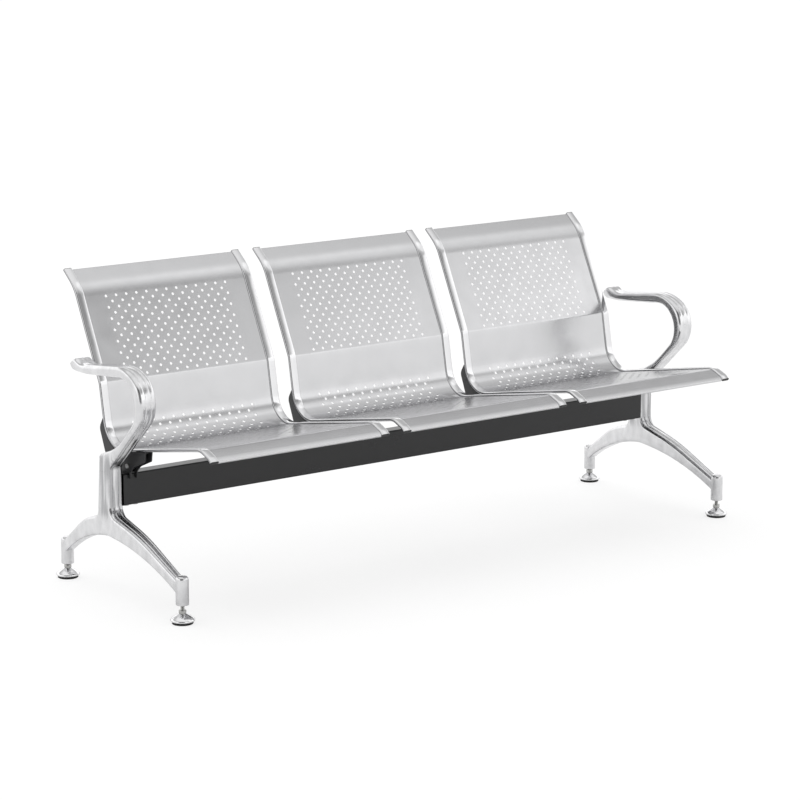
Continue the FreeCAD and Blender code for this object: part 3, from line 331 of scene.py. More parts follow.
def smooth_mesh(name, verts, faces, sharp):
    """A smooth-shaded piece from points in mm, creased wherever faces turn by more than sharp degrees."""
    mesh = bpy.data.meshes.new(name)
    mesh.from_pydata([(x * MM, y * MM, z * MM) for x, y, z in verts], [], faces)
    mesh.validate()
    weld(mesh)
    mesh.shade_smooth()
    mesh.set_sharp_from_angle(angle=math.radians(sharp))
    piece = bpy.data.objects.new(name, mesh)
    bpy.context.scene.collection.objects.link(piece)
    return piece


def weld(mesh):
    """Join points that lie on each other, drop points without a face and turn every face outward."""
    bm = bmesh.new()
    bm.from_mesh(mesh)
    bmesh.ops.remove_doubles(bm, verts=bm.verts, dist=0.00001)
    for point in [v for v in bm.verts if not v.link_faces]:
        bm.verts.remove(point)
    bmesh.ops.recalc_face_normals(bm, faces=bm.faces)
    bm.to_mesh(mesh)
    bm.free()


def foot_socket(verts, faces, y, low, high):
    """The upright socket at a foot: a bored lower end and a domed top."""
    dome = high - SOCKET_CROWN
    shoulder = SOCKET_RADIUS - SOCKET_CROWN
    profile = [(SOCKET_BORE, low + 0.6), (SOCKET_RADIUS - 1.4, low), (SOCKET_RADIUS - 0.4, low + 0.5),
               (SOCKET_RADIUS, low + 1.6), (SOCKET_RADIUS, dome)]
    for degrees in (12, 25, 38, 51, 64, 77, 90):
        angle = math.radians(degrees)
        profile.append((shoulder + SOCKET_CROWN * math.cos(angle), dome + SOCKET_CROWN * math.sin(angle)))
    profile += [(3.0, high + 0.15), (0.01, high + 0.2)]
    turned_form(verts, faces, 0.0, y, profile, 40)


def end_casting(name, side):
    """One end casting: a front and a rear half between an outer line and the arch below."""
    verts, faces = [], []
    halves = (
        (FRONT_LINE, arc_through(*FRONT_ARCH, LEG_STEPS)[::-1], 1),
        (REAR_LINE, arc_through(*REAR_ARCH, LEG_STEPS), -1),
    )
    for corners, arch, inward in halves:
        pieces = pieces_of(corners)
        root = pieces[0][3] + pieces[1][3] * 0.5
        leg = sum(p[3] for p in pieces) - root
        marks = [root * k / ROOT_STEPS for k in range(ROOT_STEPS + 1)]
        marks += [root + leg * k / LEG_STEPS for k in range(1, LEG_STEPS + 1)]
        over = [place_on(pieces, m) for m in marks]
        upper = skin(verts, faces, over, leg_width_at, inward, [CAST_GROOVE] * len(over), FACE_ROUND_IN,
                     [FACE_ROUND_DOWN] * len(over))
        under = [(spot, (way[0] * -inward, way[1] * -inward)) for spot, way in arch]
        under[0] = (CROWN, (-inward, 0.0))
        lower = skin(verts, faces, under, leg_width_at, -inward, [0.0] * len(under), ARCH_ROUND,
                     [ARCH_ROUND] * len(under))
        high = ((COLUMN_FRONT + BACK_TOP[0]) / 2, COLUMN_TOP)
        low = verts[lower[0][0]][1:]
        middle = []
        for k in range(ROOT_STEPS):
            share = k / ROOT_STEPS
            middle.append((0.0, high[0] + (low[0] - high[0]) * share, high[1] + (low[1] - high[1]) * share))
        flanks(verts, faces, upper, middle + lower, leg_width_at, FLANK_STEPS)
    for end, y, low, high in FEET:
        foot_socket(verts, faces, y, low, high)
    return smooth_mesh(name, [(x + side * COLUMN, y, z) for x, y, z in verts], faces, sharp=40.0)


def math_result(tree, operation, *values):
    """A sum, product or the like of values and other nodes' outputs."""
    node = tree.nodes.new("ShaderNodeMath")
    node.operation = operation
    for socket, value in zip(node.inputs, values):
        feed(tree, socket, value)
    return node.outputs["Value"]


def vector_result(tree, operation, first, second):
    """A vector sum or product, or the plain number that a dot product gives."""
    node = tree.nodes.new("ShaderNodeVectorMath")
    node.operation = operation
    feed(tree, node.inputs[0], first)
    feed(tree, node.inputs[1], second)
    return node.outputs["Value" if operation == "DOT_PRODUCT" else "Vector"]


def polish_marks_group():
    """What polishing leaves: slow waves in the surface, fine wheel lines and smears."""
    tree = bpy.data.node_groups.new("polish_marks", "ShaderNodeTree")
    enter, leave = group_sockets(
        tree,
        [("Waves per metre", "NodeSocketFloat", 14.0), ("Lines per metre", "NodeSocketFloat", 900.0),
         ("Smears per metre", "NodeSocketFloat", 22.0), ("Stretch", "NodeSocketVector", (1.0, 1.0, 1.0))],
        [("Wave", "NodeSocketFloat"), ("Line", "NodeSocketFloat"), ("Smear", "NodeSocketFloat")],
    )
    place = tree.nodes.new("ShaderNodeTexCoord").outputs["Object"]
    pulled = vector_result(tree, "MULTIPLY", place, enter.outputs["Stretch"])
    for result, source, rate, detail in (
        ("Wave", place, "Waves per metre", 1.0),
        ("Line", pulled, "Lines per metre", 2.0),
        ("Smear", pulled, "Smears per metre", 6.0),
    ):
        tree.links.new(cloud_noise(tree, source, enter.outputs[rate], detail), leave.inputs[result])
    return tree


polish_marks = polish_marks_group()


def bright_metal(name, colour, deep_colour, gloss, dull, wave_depth, line_depth, stretch=(1, 1, 1),
                 waves=14.0, lines=900.0, smears=22.0, soft=0.5):
    """Bare or plated metal: colour and gloss drift with smears, and two bumps bend what it mirrors."""
    material = bpy.data.materials.new(name)
    material.use_nodes = True
    tree = material.node_tree
    surface = tree.nodes["Principled BSDF"]
    surface.inputs["Metallic"].default_value = 1.0
    marks = tree.nodes.new("ShaderNodeGroup")
    marks.node_tree = polish_marks
    marks.inputs["Waves per metre"].default_value = waves
    marks.inputs["Lines per metre"].default_value = lines
    marks.inputs["Smears per metre"].default_value = smears
    marks.inputs["Stretch"].default_value = stretch
    smear = marks.outputs["Smear"]
    cloud = carried(tree, smear, 0.5 - soft, 0.5 + soft, 0.0, 1.0)
    tree.links.new(colour_mix(tree, cloud, (*colour, 1), (*deep_colour, 1)), surface.inputs["Base Color"])
    tree.links.new(carried(tree, smear, 0.3, 0.7, gloss, dull), surface.inputs["Roughness"])
    wavy = raised(tree, marks.outputs["Wave"], wave_depth)
    tree.links.new(raised(tree, marks.outputs["Line"], line_depth, under=wavy), surface.inputs["Normal"])
    return material


def tint_over(material, mask, colour):
    """Lay another colour over a metal where a mask is bright."""
    tree = material.node_tree
    base = tree.nodes["Principled BSDF"].inputs["Base Color"]
    bare = base.links[0].from_socket
    tree.links.new(colour_mix(tree, mask, bare, (*colour, 1)), base)


def painted_column_shade_group():
    """Painted dark reflections: upright streaks between two heights on a column, darkening its colour."""
    tree = bpy.data.node_groups.new("painted_column_shade", "ShaderNodeTree")
    enter, leave = group_sockets(
        tree,
        [("Low", "NodeSocketFloat", 0.2), ("High", "NodeSocketFloat", 0.35)],
        [("Streak", "NodeSocketFloat")],
    )
    fade = 0.03
    place = tree.nodes.new("ShaderNodeTexCoord").outputs["Object"]
    parts = tree.nodes.new("ShaderNodeSeparateXYZ")
    tree.links.new(place, parts.inputs["Vector"])
    height = parts.outputs["Z"]
    low, high = enter.outputs["Low"], enter.outputs["High"]
    above = carried(tree, height, low, math_result(tree, "ADD", low, fade), 0.0, 1.0, "SMOOTHSTEP")
    below = carried(tree, height, high, math_result(tree, "ADD", high, fade), 1.0, 0.0, "SMOOTHSTEP")
    between = math_result(tree, "MULTIPLY", above, below)
    upright = vector_result(tree, "MULTIPLY", place, (1.0, 1.0, 0.06))
    band = carried(tree, cloud_noise(tree, upright, 110.0, 2.0), 0.36, 0.56, 0.0, 1.0, "SMOOTHSTEP")
    tree.links.new(math_result(tree, "MULTIPLY", between, band), leave.inputs["Streak"])
    return tree


def paint_column_shade(material, colour, low, high):
    """Paint dark reflections into a bright metal's colour, in upright streaks between two heights."""
    shade_streaks = material.node_tree.nodes.new("ShaderNodeGroup")
    shade_streaks.node_tree = painted_column_shade_group()
    shade_streaks.inputs["Low"].default_value = low
    shade_streaks.inputs["High"].default_value = high
    tint_over(material, shade_streaks.outputs["Streak"], colour)


cast_bright = bright_metal("polished_cast_aluminium", (0.86, 0.86, 0.87), (0.68, 0.68, 0.69), gloss=0.15,
                           dull=0.25, wave_depth=0.0006, line_depth=0.000003, stretch=(1, 1, 0.6),
                           waves=30.0, smears=45.0, soft=0.24)
# Painted dark reflections: the bright colour is darkened in upright streaks between these heights.
paint_column_shade(cast_bright, (0.46, 0.46, 0.47), low=0.19, high=0.345)
for word, side in (("left", -1), ("right", 1)):
    casting = end_casting(word + "_end_casting", side)
    casting.data.materials.append(cast_bright)
    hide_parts(word + "_leg")
    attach(casting, "frame")

# Arms: a flat aluminium bar cast as an open loop and polished like the casting that it stands on. Its edges
# are ground round, and a pair of grooves runs along its outer face, from near the tip down to the column.
ARM_HALF = 25.0
ARM_NARROWS = 472.0
ARM_NARROW = 356.0
ARM_OVER = [(201.3, 566.5, 0), (201.3, 591.5, 15), (157.8, 570.0, 70), (-36.7, 596.0, 115),
            (-178.2, 531.0, 78), (COLUMN_FRONT, 329.0, 10), (COLUMN_FRONT, COLUMN_TOP, 0)]
ARM_UNDER = [(201.3, 566.5, 0), (201.3, 550.5, 15.5), (144.8, 549.0, 300), (-53.2, 567.5, 61),
             (-107.7, 494.0, 64), (-1.7, 388.0, 225), (85.5, 358.0, 9), (*BACK_TOP, 0)]
ARM_OVER_ROOT = 132.0
ARM_UNDER_ROOT = 104.0
ARM_GROOVE = 0.7
GROOVE_STARTS = 22
GROOVE_DEEPENS = 6
ARM_ROUND_IN = 11.0
ARM_ROUND_DOWN = 10.5
ARM_ROUND_SHARE = 0.46
END_STATIONS = 20
END_ROUND_STEP = 1.2


def arm_width_at(spot):
    """Half the bar's width: full on the loop, drawn in to the column below it."""
    share = min(max((ARM_NARROWS - spot[1]) / (ARM_NARROWS - ARM_NARROW), 0.0), 1.0)
    return ARM_HALF + (LEG_HALF - ARM_HALF) * share


def paired_walk(line, root):
    """Points down one side of the arm, with as many between its bends as the other side has."""
    pieces = pieces_of(line)
    ends = [sum(p[3] for p in pieces[:k]) for k in range(len(pieces) + 1)]
    middle_of = [(ends[k] + ends[k + 1]) / 2 for k in range(len(pieces))]
    marks = [0.0]
    for stop, count in ((middle_of[3], END_STATIONS), (ends[5], 12), (middle_of[5], 10), (ends[6], 10),
                        (ends[7], 2), (middle_of[7], 10), (ends[8], 10), (ends[8] + root, 14),
                        (ends[-1], 40)):
        start = marks[-1]
        marks += [start + (stop - start) * (k + 1) / count for k in range(count)]
    return [place_on(pieces, m) for m in marks]


def looped_arm(name, side):
    """One arm, lofted between its outer and its inner line."""
    outer = paired_walk(ARM_OVER, ARM_OVER_ROOT)
    inner = paired_walk(ARM_UNDER, ARM_UNDER_ROOT)
    shares = [min(max((k - GROOVE_STARTS) / GROOVE_DEEPENS, 0.0), 1.0) for k in range(len(outer))]
    grooves = [share * ARM_GROOVE for share in shares]
    rounds = [min(ARM_ROUND_DOWN, ARM_ROUND_SHARE * math.dist(a[0], b[0])) for a, b in zip(outer, inner)]
    rounds[:END_STATIONS] = [min(k * END_ROUND_STEP, rounds[END_STATIONS]) for k in range(END_STATIONS)]
    verts, faces = [], []
    front = skin(verts, faces, outer, arm_width_at, 1, grooves, ARM_ROUND_IN, rounds)
    back = skin(verts, faces, inner, arm_width_at, -1, [0.0] * len(inner), ARM_ROUND_IN, rounds)
    flanks(verts, faces, front, back, arm_width_at, 1)
    return smooth_mesh(name, [(x + side * COLUMN, y, z) for x, y, z in verts], faces, sharp=50.0)


for word, side in (("left", -1), ("right", 1)):
    arm = looped_arm(word + "_looped_arm", side)
    arm.data.materials.append(cast_bright)
    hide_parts(word + "_arm")
    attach(arm, "frame")

# Glides: under each foot a zinc plated screw with a hexagon, held by its ball in a chromed pad with a
# black rubber sole. The screw's thread is rolled at 1.5 mm a turn and shows below the socket.
THREAD_PITCH = 1.5
THREAD_CREST = 4.95
THREAD_DEPTH = 0.75
THREAD_STEP = 0.25
SHANK_RADIUS = 4.4
SCREW_TOPS = {"front": 92.0, "rear": 80.0}
SCREW_SIDES = 48
BALL_RADIUS = 7.0
BALL_HEIGHT = 15.5
HEX_HALF = 8.5
HEX_BOTTOM = 25.4
HEX_TOP = 34.0


def hexagon_reach(k, sides, half):
    """From a hexagon's middle to its edge, at one of the points spread evenly round it."""
    angle = 2 * math.pi * k / sides
    return half / math.cos((angle + math.pi / 6) % (math.pi / 3) - math.pi / 6)


def thread_radius(k, height):
    """Radius of a rolled thread at one of the points round it, at a height."""
    phase = (height / THREAD_PITCH - k / SCREW_SIDES) % 1.0
    return THREAD_CREST - THREAD_DEPTH * abs(2 * phase - 1)


def levelling_screw(name, side, y, top, socket):
    """The screw of one glide: ball, neck, hexagon and a rolled thread up into the socket."""
    verts, faces = [], []
    x = side * COLUMN
    ball = []
    for degrees in (-89.5, -60, -30, 0, 25, 50):
        angle = math.radians(degrees)
        ball.append((BALL_RADIUS * math.cos(angle), BALL_HEIGHT + BALL_RADIUS * math.sin(angle)))
    neck = [(4.5, 21.2), (4.5, HEX_BOTTOM), (7.6, HEX_BOTTOM)]
    turned_form(verts, faces, x, y, ball + neck, 32)
    rings = []
    for height, reach in ((HEX_BOTTOM, 7.6), (HEX_BOTTOM, 8.3), (26.1, 9.2), (33.0, 9.2), (33.8, 8.3),
                          (HEX_TOP, 7.9), (HEX_TOP, SHANK_RADIUS)):
        rings.append(level_ring(verts, x, y, height,
                                lambda k: min(hexagon_reach(k, SCREW_SIDES, HEX_HALF), reach), SCREW_SIDES))
    for step in range(int((socket + 6.0 - HEX_TOP) / THREAD_STEP) + 1):
        height = HEX_TOP + step * THREAD_STEP
        rings.append(level_ring(verts, x, y, height, lambda k: thread_radius(k, height), SCREW_SIDES))
    for height, radius in ((socket + 8.0, SHANK_RADIUS), (top - 1.0, SHANK_RADIUS), (top, 3.8)):
        rings.append(level_ring(verts, x, y, height, lambda k: radius, SCREW_SIDES))
    join_rings(faces, rings)
    faces.append(tuple(rings[-1]))
    return smooth_mesh(name, verts, faces, sharp=28.0)


def glide_pad(name, side, y):
    """A pressed pad: a flared foot with a rolled rim and a collar round the ball."""
    verts, faces = [], []
    profile = [(24.5, 5.0), (26.0, 5.0), (28.4, 6.4), (29.6, 7.4), (30.0, 8.7), (29.9, 10.2), (29.2, 11.6),
               (27.6, 13.5), (25.2, 15.6), (22.0, 17.8), (18.4, 19.9), (15.0, 21.7), (12.4, 23.1),
               (10.8, 24.1), (9.9, 24.7), (8.9, 25.0), (6.4, 25.0), (5.6, 24.5), (5.5, 23.2), (7.0, 18.0)]
    turned_form(verts, faces, side * COLUMN, y, profile, 64)
    return smooth_mesh(name, verts, faces, sharp=50.0)


screw_zinc = bright_metal("zinc_plated_screw", (0.62, 0.62, 0.60), (0.45, 0.45, 0.44), gloss=0.24, dull=0.42,
                          wave_depth=0.0001, line_depth=0.000004)
pad_chrome = bright_metal("chromed_pad", (0.92, 0.92, 0.93), (0.84, 0.84, 0.85), gloss=0.10, dull=0.20,
                          wave_depth=0.0001, line_depth=0.000002)
sole_black = coated("black_rubber", (0.012, 0.012, 0.012), (0.03, 0.03, 0.03), gloss=0.7, worn_gloss=0.85,
                    pebbles=900.0, depth=0.0001)
for word, side in (("left", -1), ("right", 1)):
    for end, y, low, high in FEET:
        prefix = word + "_" + end
        screw = levelling_screw(prefix + "_levelling_screw", side, y, SCREW_TOPS[end], low)
        screw.data.materials.append(screw_zinc)
        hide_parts(prefix + "_stud")
        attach(screw, prefix + "_screw")
        pad = glide_pad(prefix + "_chrome_pad", side, y)
        pad.data.materials.append(pad_chrome)
        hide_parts(prefix + "_pad")
        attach(pad, prefix + "_foot")
        dress(prefix + "_sole", sole_black)

# Brackets: pressed steel channels, coated black, that straddle the beam and hold a rail along their top.
# Black bolts, bright pins and zinc plated nuts fix them, and the frame brings their solids.
SEATS = (("left_seat", -574.0), ("middle_seat", 0.0), ("right_seat", 574.0))
bracket_black = coated("bracket_black_coat", (0.014, 0.014, 0.015), (0.028, 0.028, 0.030), gloss=0.34,
                       worn_gloss=0.5, pebbles=600.0, depth=0.0001)
bolt_zinc = bright_metal("zinc_plated_bolt", (0.55, 0.55, 0.54), (0.42, 0.42, 0.41), gloss=0.28, dull=0.45,
                         wave_depth=0.0001, line_depth=0.000003)
pin_bright = bright_metal("bright_pin", (0.95, 0.95, 0.95), (0.9, 0.9, 0.9), gloss=0.5, dull=0.6,
                          wave_depth=0.0001, line_depth=0.000002)
for seat, x in SEATS:
    for word in ("left", "right"):
        dress(seat + "_bracket_" + word, bracket_black)
    dress(seat + "_saddle_bolts", bracket_black)
    dress(seat + "_rail_bolts", bracket_black)
    dress(seat + "_rail_nuts", bolt_zinc)
for node in ("beam_rivet_nuts", "socket_inserts", "left_beam_screws", "right_beam_screws"):
    dress(node, bolt_zinc)
dress("bracket_pins", pin_bright)

# Arm screws: two zinc plated button head screws go through the back of each column into the foot of the
# arm. Each has a hexagon recess, and its head sits on the leaning back of the casting.
ARM_SCREW_HEIGHTS = (306.0, 286.0)
ARM_SCREW_SIDES = 36
RECESS_HALF = 2.5
BUTTON = [(0.01, -27.0), (3.2, -27.0), (4.0, -26.2), (4.0, -7.0), (6.5, -7.0), (6.5, 0.6), (6.2, 1.3),
          (5.4, 1.9), (4.3, 2.2), (3.4, 2.3)]
RECESS = [(RECESS_HALF, 2.1), (RECESS_HALF, 0.2), (0.01, 0.2)]


def arm_screws(name, side):
    """Both screws of one arm, from (radius, distance out of the column) pairs."""
    verts, faces = [], []
    for height in ARM_SCREW_HEIGHTS:
        fall = (COLUMN_TOP - height) / (COLUMN_TOP - BACK_KNEE[1])
        back = BACK_TOP[0] + (BACK_KNEE[0] - BACK_TOP[0]) * fall
        rings = []
        for reach, out in BUTTON + RECESS:
            ring = []
            for k in range(ARM_SCREW_SIDES):
                angle = 2 * math.pi * k / ARM_SCREW_SIDES
                radius = hexagon_reach(k, ARM_SCREW_SIDES, reach) if reach == RECESS_HALF else reach
                ring.append(len(verts))
                across, up = radius * math.cos(angle), radius * math.sin(angle)
                verts.append((side * COLUMN + across, back + out, height + up))
            rings.append(ring)
        join_rings(faces, rings)
    return smooth_mesh(name, verts, faces, sharp=30.0)


for word, side in (("left", -1), ("right", 1)):
    screws = arm_screws(word + "_button_screws", side)
    screws.data.materials.append(bolt_zinc)
    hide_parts(word + "_arm_screws")
    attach(screws, "frame")

# Rails: a flat-oval tube down each side of a seat, bent in one go from the rolled top to the dropped
# front and plated bright, with painted shade darkening its flanks. A low black cap closes each end.
RAIL_WIDE = 24.0
RAIL_THICK = 9.0
RAIL_OUT = 253.0
RAIL_LINE = [(326.8, 779.0, 0), (279.8, 741.0, 120), (168.2, 514.7, 40), (137.8, 349.3, 75),
             (-281.0, 424.7, 45), (-317.5, 409.5, 14), (-326.5, 401.5, 0)]
CAP_STEPS = ((-6.0, 1.7), (0.0, 1.7), (0.0, 0.0), (1.2, 0.1), (1.8, 0.7), (2.0, 1.8))


def stations(pieces, run_step, bend_step):
    """Distances at which an outline is cut into short chords, by mm on runs and degrees in bends."""
    marks = [0.0]
    for kind, start, way, length, turn in pieces:
        if length < 1e-6:
            continue
        count = math.ceil(length / run_step if kind == "run" else abs(turn) / math.radians(bend_step))
        marks += [marks[-1] + length * (k + 1) / count for k in range(count)]
    return marks


def oval_ring(verts, x, spot, way, trim):
    """One ring round a flat-oval section, square to its run and smaller all round by the trim."""
    steps = 10
    thick = RAIL_THICK - 2 * trim
    flat = (RAIL_WIDE - RAIL_THICK) / 2
    first = len(verts)
    for side in (1, -1):
        for k in range(steps + 1):
            angle = math.pi / 2 - math.pi * k / steps
            across = side * (flat + thick / 2 * math.cos(angle))
            high = side * thick / 2 * math.sin(angle)
            verts.append((x + across, spot[0] - way[1] * high, spot[1] + way[0] * high))
    return range(first, len(verts))


def closed_tube(faces, rings):
    """Faces along a row of rings and over its first and last one."""
    join_rings(faces, rings)
    faces.append(tuple(rings[0]))
    faces.append(tuple(rings[-1]))


def seat_rail(name, x):
    """One bent tube."""
    verts, faces = [], []
    pieces = pieces_of(RAIL_LINE)
    closed_tube(faces, [oval_ring(verts, x, *place_on(pieces, m), 0.0) for m in stations(pieces, 25.0, 3.0)])
    return smooth_mesh(name, verts, faces, sharp=40.0)


def rail_caps(name, x):
    """The four caps of a seat's two rails: a plug inside the tube and a low rounded lid."""
    verts, faces = [], []
    pieces = pieces_of(RAIL_LINE)
    down, away = pieces[0][2], pieces[-1][2]
    for side in (-1, 1):
        for end, way in ((RAIL_LINE[0], (-down[0], -down[1])), (RAIL_LINE[-1], away)):
            rings = []
            for out, trim in CAP_STEPS:
                spot = (end[0] + way[0] * out, end[1] + way[1] * out)
                rings.append(oval_ring(verts, x + side * RAIL_OUT, spot, way, trim))
            closed_tube(faces, rings)
    return smooth_mesh(name, verts, faces, sharp=40.0)


def facing_group():
    """A mask of the faces that look along an axis, either way."""
    tree = bpy.data.node_groups.new("facing", "ShaderNodeTree")
    enter, leave = group_sockets(
        tree,
        [("Axis", "NodeSocketVector", (1.0, 0.0, 0.0)), ("From", "NodeSocketFloat", 0.8),
         ("To", "NodeSocketFloat", 0.97)],
        [("Mask", "NodeSocketFloat")],
    )
    normal = tree.nodes.new("ShaderNodeTexCoord").outputs["Normal"]
    along = math_result(tree, "ABSOLUTE", vector_result(tree, "DOT_PRODUCT", normal, enter.outputs["Axis"]))
    mask = carried(tree, along, enter.outputs["From"], enter.outputs["To"], 0.0, 1.0, "SMOOTHSTEP")
    tree.links.new(mask, leave.inputs["Mask"])
    return tree


facing = facing_group()


def paint_shade_on_faces(material, colour, axis, low, high):
    """Painted shade: darken a plating's colour on the faces that look along an axis."""
    faces = material.node_tree.nodes.new("ShaderNodeGroup")
    faces.node_tree = facing
    faces.inputs["Axis"].default_value = axis
    faces.inputs["From"].default_value = low
    faces.inputs["To"].default_value = high
    tint_over(material, faces.outputs["Mask"], colour)


rail_chrome = bright_metal("rail_chrome_plate", (0.84, 0.84, 0.85), (0.76, 0.76, 0.77), gloss=0.10,
                           dull=0.17, wave_depth=0.0002, line_depth=0.000002)
# Painted shade: the rails' side faces are darkened, standing in for the shadow along their sides.
paint_shade_on_faces(rail_chrome, (0.30, 0.30, 0.31), (1, 0, 0), 0.80, 0.97)
cap_black = coated("black_cap_plastic", (0.02, 0.02, 0.02), (0.035, 0.035, 0.035), gloss=0.45,
                   worn_gloss=0.6, pebbles=700.0, depth=0.00008)
for seat, x in SEATS:
    for word, side in (("left", -1), ("right", 1)):
        rail = seat_rail(seat + "_" + word + "_bent_rail", x + side * RAIL_OUT)
        rail.data.materials.append(rail_chrome)
        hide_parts(seat + "_rail_" + word)
        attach(rail, "frame")
    caps = rail_caps(seat + "_rail_caps", x)
    caps.data.materials.append(cap_black)
    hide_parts(seat + "_rail_plugs")
    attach(caps, "frame")

# Seat shells: one 1.5 mm steel sheet per seat, punched with staggered round holes in the back and in the
# seat, creased at the lumbar line, rolled at the top and hemmed at both ends. Its plating is satin, with
# painted shade darkening the faces that look up or down, the seat among them.
SHEET = 1.5
SHEET_HALF = 241.0
HOLE = 7.5
CELL = 15.0
CUTS = 4
COLUMNS = 25
BACK_ROWS = 15
SEAT_ROWS = 25
MARGIN_STEPS = 6
BACK_GAP = 3.5
SEAT_FIRST = 14.0
FIELD_GAP = 1.5
HEM_DEEP = 6.6
HEM_LONG = 9.0
LUMBAR_BEND = 7
HIP_BEND = 9


def one_way(a, b):
    """Direction from one point of the side outline to another."""
    return (b[0] - a[0]) / math.dist(a, b), (b[1] - a[1]) / math.dist(a, b)


def hem_corners():
    """The sheet's whole line from the hem behind the rolled top to the hem under the front."""
    top, roll, lumbar, hip, lip, crest, front = [corner[:2] for corner in RAIL_LINE]
    down, away = one_way(top, roll), one_way(crest, front)
    top_fold = (top[0] - down[1] * HEM_DEEP, top[1] + down[0] * HEM_DEEP)
    front_fold = (front[0] - away[1] * HEM_DEEP, front[1] + away[0] * HEM_DEEP)
    return [
        (top_fold[0] + down[0] * HEM_LONG, top_fold[1] + down[1] * HEM_LONG, 0),
        (*top_fold, 3), (*top, 3), (*roll, 120), (*lumbar, 12), (*hip, 75), (*lip, 30),
        (*crest, 18), (*front, 3.2), (*front_fold, 3),
        (front_fold[0] - away[0] * HEM_LONG, front_fold[1] - away[1] * HEM_LONG, 0),
    ]


def shell_rows(pieces):
    """Stations down the sheet, and which of them start a row of holes, with True for a wide row."""
    before = [sum(p[3] for p in pieces[:k]) for k in range(len(pieces))]
    back_low = before[LUMBAR_BEND] + pieces[LUMBAR_BEND][3] / 2 - BACK_GAP
    seat_first = before[HIP_BEND] + SEAT_FIRST - CELL / 2
    fields = ((back_low - BACK_ROWS * CELL, BACK_ROWS), (seat_first, SEAT_ROWS))
    rows, holes = [], {}
    for m in stations(pieces, 14.0, 7.0):
        if all(not start - FIELD_GAP < m < start + count * CELL + FIELD_GAP for start, count in fields):
            rows.append(m)
    for start, count in fields:
        rows += [start + CELL * k / CUTS for k in range(count * CUTS + 1)]
    rows.sort()
    for start, count in fields:
        first = min(range(len(rows)), key=lambda i: abs(rows[i] - start))
        for k in range(count):
            from_lumbar = count - 1 - k if count == BACK_ROWS else k
            holes[first + CUTS * k] = from_lumbar % 2 == 0
    return rows, holes


def punch(verts, faces, grids, corner, centre, pieces):
    """One hole in a cell of both faces of the sheet, with the wall through its thickness."""
    ring = [(0, j) for j in range(CUTS)] + [(i, CUTS) for i in range(CUTS)]
    ring += [(CUTS, CUTS - j) for j in range(CUTS)] + [(CUTS - i, 0) for i in range(CUTS)]
    row, column = corner
    loops = []
    for grid, shift in grids:
        loop = []
        for i, j in ring:
            ds, dx = i - CUTS / 2, j - CUTS / 2
            reach = HOLE / 2 / math.hypot(ds, dx)
            (y, z), (a, b) = place_on(pieces, centre[0] + ds * reach)
            loop.append(len(verts))
            verts.append((centre[1] + dx * reach, y - b * shift, z + a * shift))
        for k in range(len(ring)):
            m = (k + 1) % len(ring)
            one = grid[row + ring[k][0]][column + ring[k][1]]
            two = grid[row + ring[m][0]][column + ring[m][1]]
            faces.append((one, two, loop[m], loop[k]))
        loops.append(loop)
    join_rings(faces, loops)


def shell_sheet(name):
    """The punched sheet: a grid down the bent line with a ring of faces round every hole."""
    pieces = pieces_of(hem_corners())
    rows, holes = shell_rows(pieces)
    field = COLUMNS * CELL / 2
    inner = [-field + CELL * k / CUTS for k in range(COLUMNS * CUTS + 1)]
    margin = [field + (SHEET_HALF - field) * k / MARGIN_STEPS for k in range(1, MARGIN_STEPS + 1)]
    columns = [-m for m in margin[::-1]] + inner + margin
    verts, faces, grids = [], [], []
    for shift in (-SHEET / 2, SHEET / 2):
        grid = []
        for m in rows:
            (y, z), (a, b) = place_on(pieces, m)
            grid.append(range(len(verts), len(verts) + len(columns)))
            verts += [(x, y - b * shift, z + a * shift) for x in columns]
        grids.append((grid, shift))
    punched = set()
    for first, wide in holes.items():
        for c in range(0 if wide else 1, COLUMNS, 2):
            column = MARGIN_STEPS + CUTS * c
            punched.update((first + i, column + j) for i in range(CUTS) for j in range(CUTS))
            centre = (rows[first] + CELL / 2, columns[column] + CELL / 2)
            punch(verts, faces, grids, (first, column), centre, pieces)
    front, back = [grid for grid, shift in grids]
    for grid in (front, back):
        for r in range(len(rows) - 1):
            for c in range(len(columns) - 1):
                if (r, c) not in punched:
                    faces.append((grid[r][c], grid[r][c + 1], grid[r + 1][c + 1], grid[r + 1][c]))
    for c in range(len(columns) - 1):
        for r in (0, -1):
            faces.append((front[r][c], front[r][c + 1], back[r][c + 1], back[r][c]))
    for r in range(len(rows) - 1):
        for c in (0, -1):
            faces.append((front[r][c], front[r + 1][c], back[r + 1][c], back[r][c]))
    return smooth_mesh(name, verts, faces, sharp=35.0)


shell_satin = bright_metal("satin_plated_sheet", (0.68, 0.68, 0.69), (0.64, 0.64, 0.65), gloss=0.20,
                           dull=0.26, wave_depth=0.0005, line_depth=0.000001, waves=7.0, lines=400.0)
# Painted shade: faces that look up or down, the flat seat among them, are darkened in colour.
paint_shade_on_faces(shell_satin, (0.50, 0.50, 0.51), (0, 0, 1), 0.91, 0.97)
sheet = shell_sheet("punched_sheet")
sheet.data.materials.append(shell_satin)
for seat, x in SEATS:
    shell = bpy.data.objects.new(seat + "_punched_shell", sheet.data)
    bpy.context.scene.collection.objects.link(shell)
    shell.location.x = x * MM
    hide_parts(seat + "_shell")
    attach(shell, "frame")
bpy.data.objects.remove(sheet)

# Studio: a seamless white floor, a very wide light overhead and a bright room that the metal mirrors, as a
# product is shown. The camera stands to the left in front, a little above the seats, with a long lens.
FLOOR_REACH = 60.0
FLOOR_GLOW = 1.08
FLOOR_GLOW_SHARE = 0.72
# Heights in degrees, each with the room's tone there.
ROOM_TONES = ((0, 0.94), (6, 1.04), (12, 1.2), (24, 1.2), (26.5, 1.5), (28, 1.45), (30, 1.14), (31.5, 1.04),
              (33.3, 0.55), (38, 0.54), (46, 0.52), (51, 0.71), (58, 0.90), (75, 0.95))
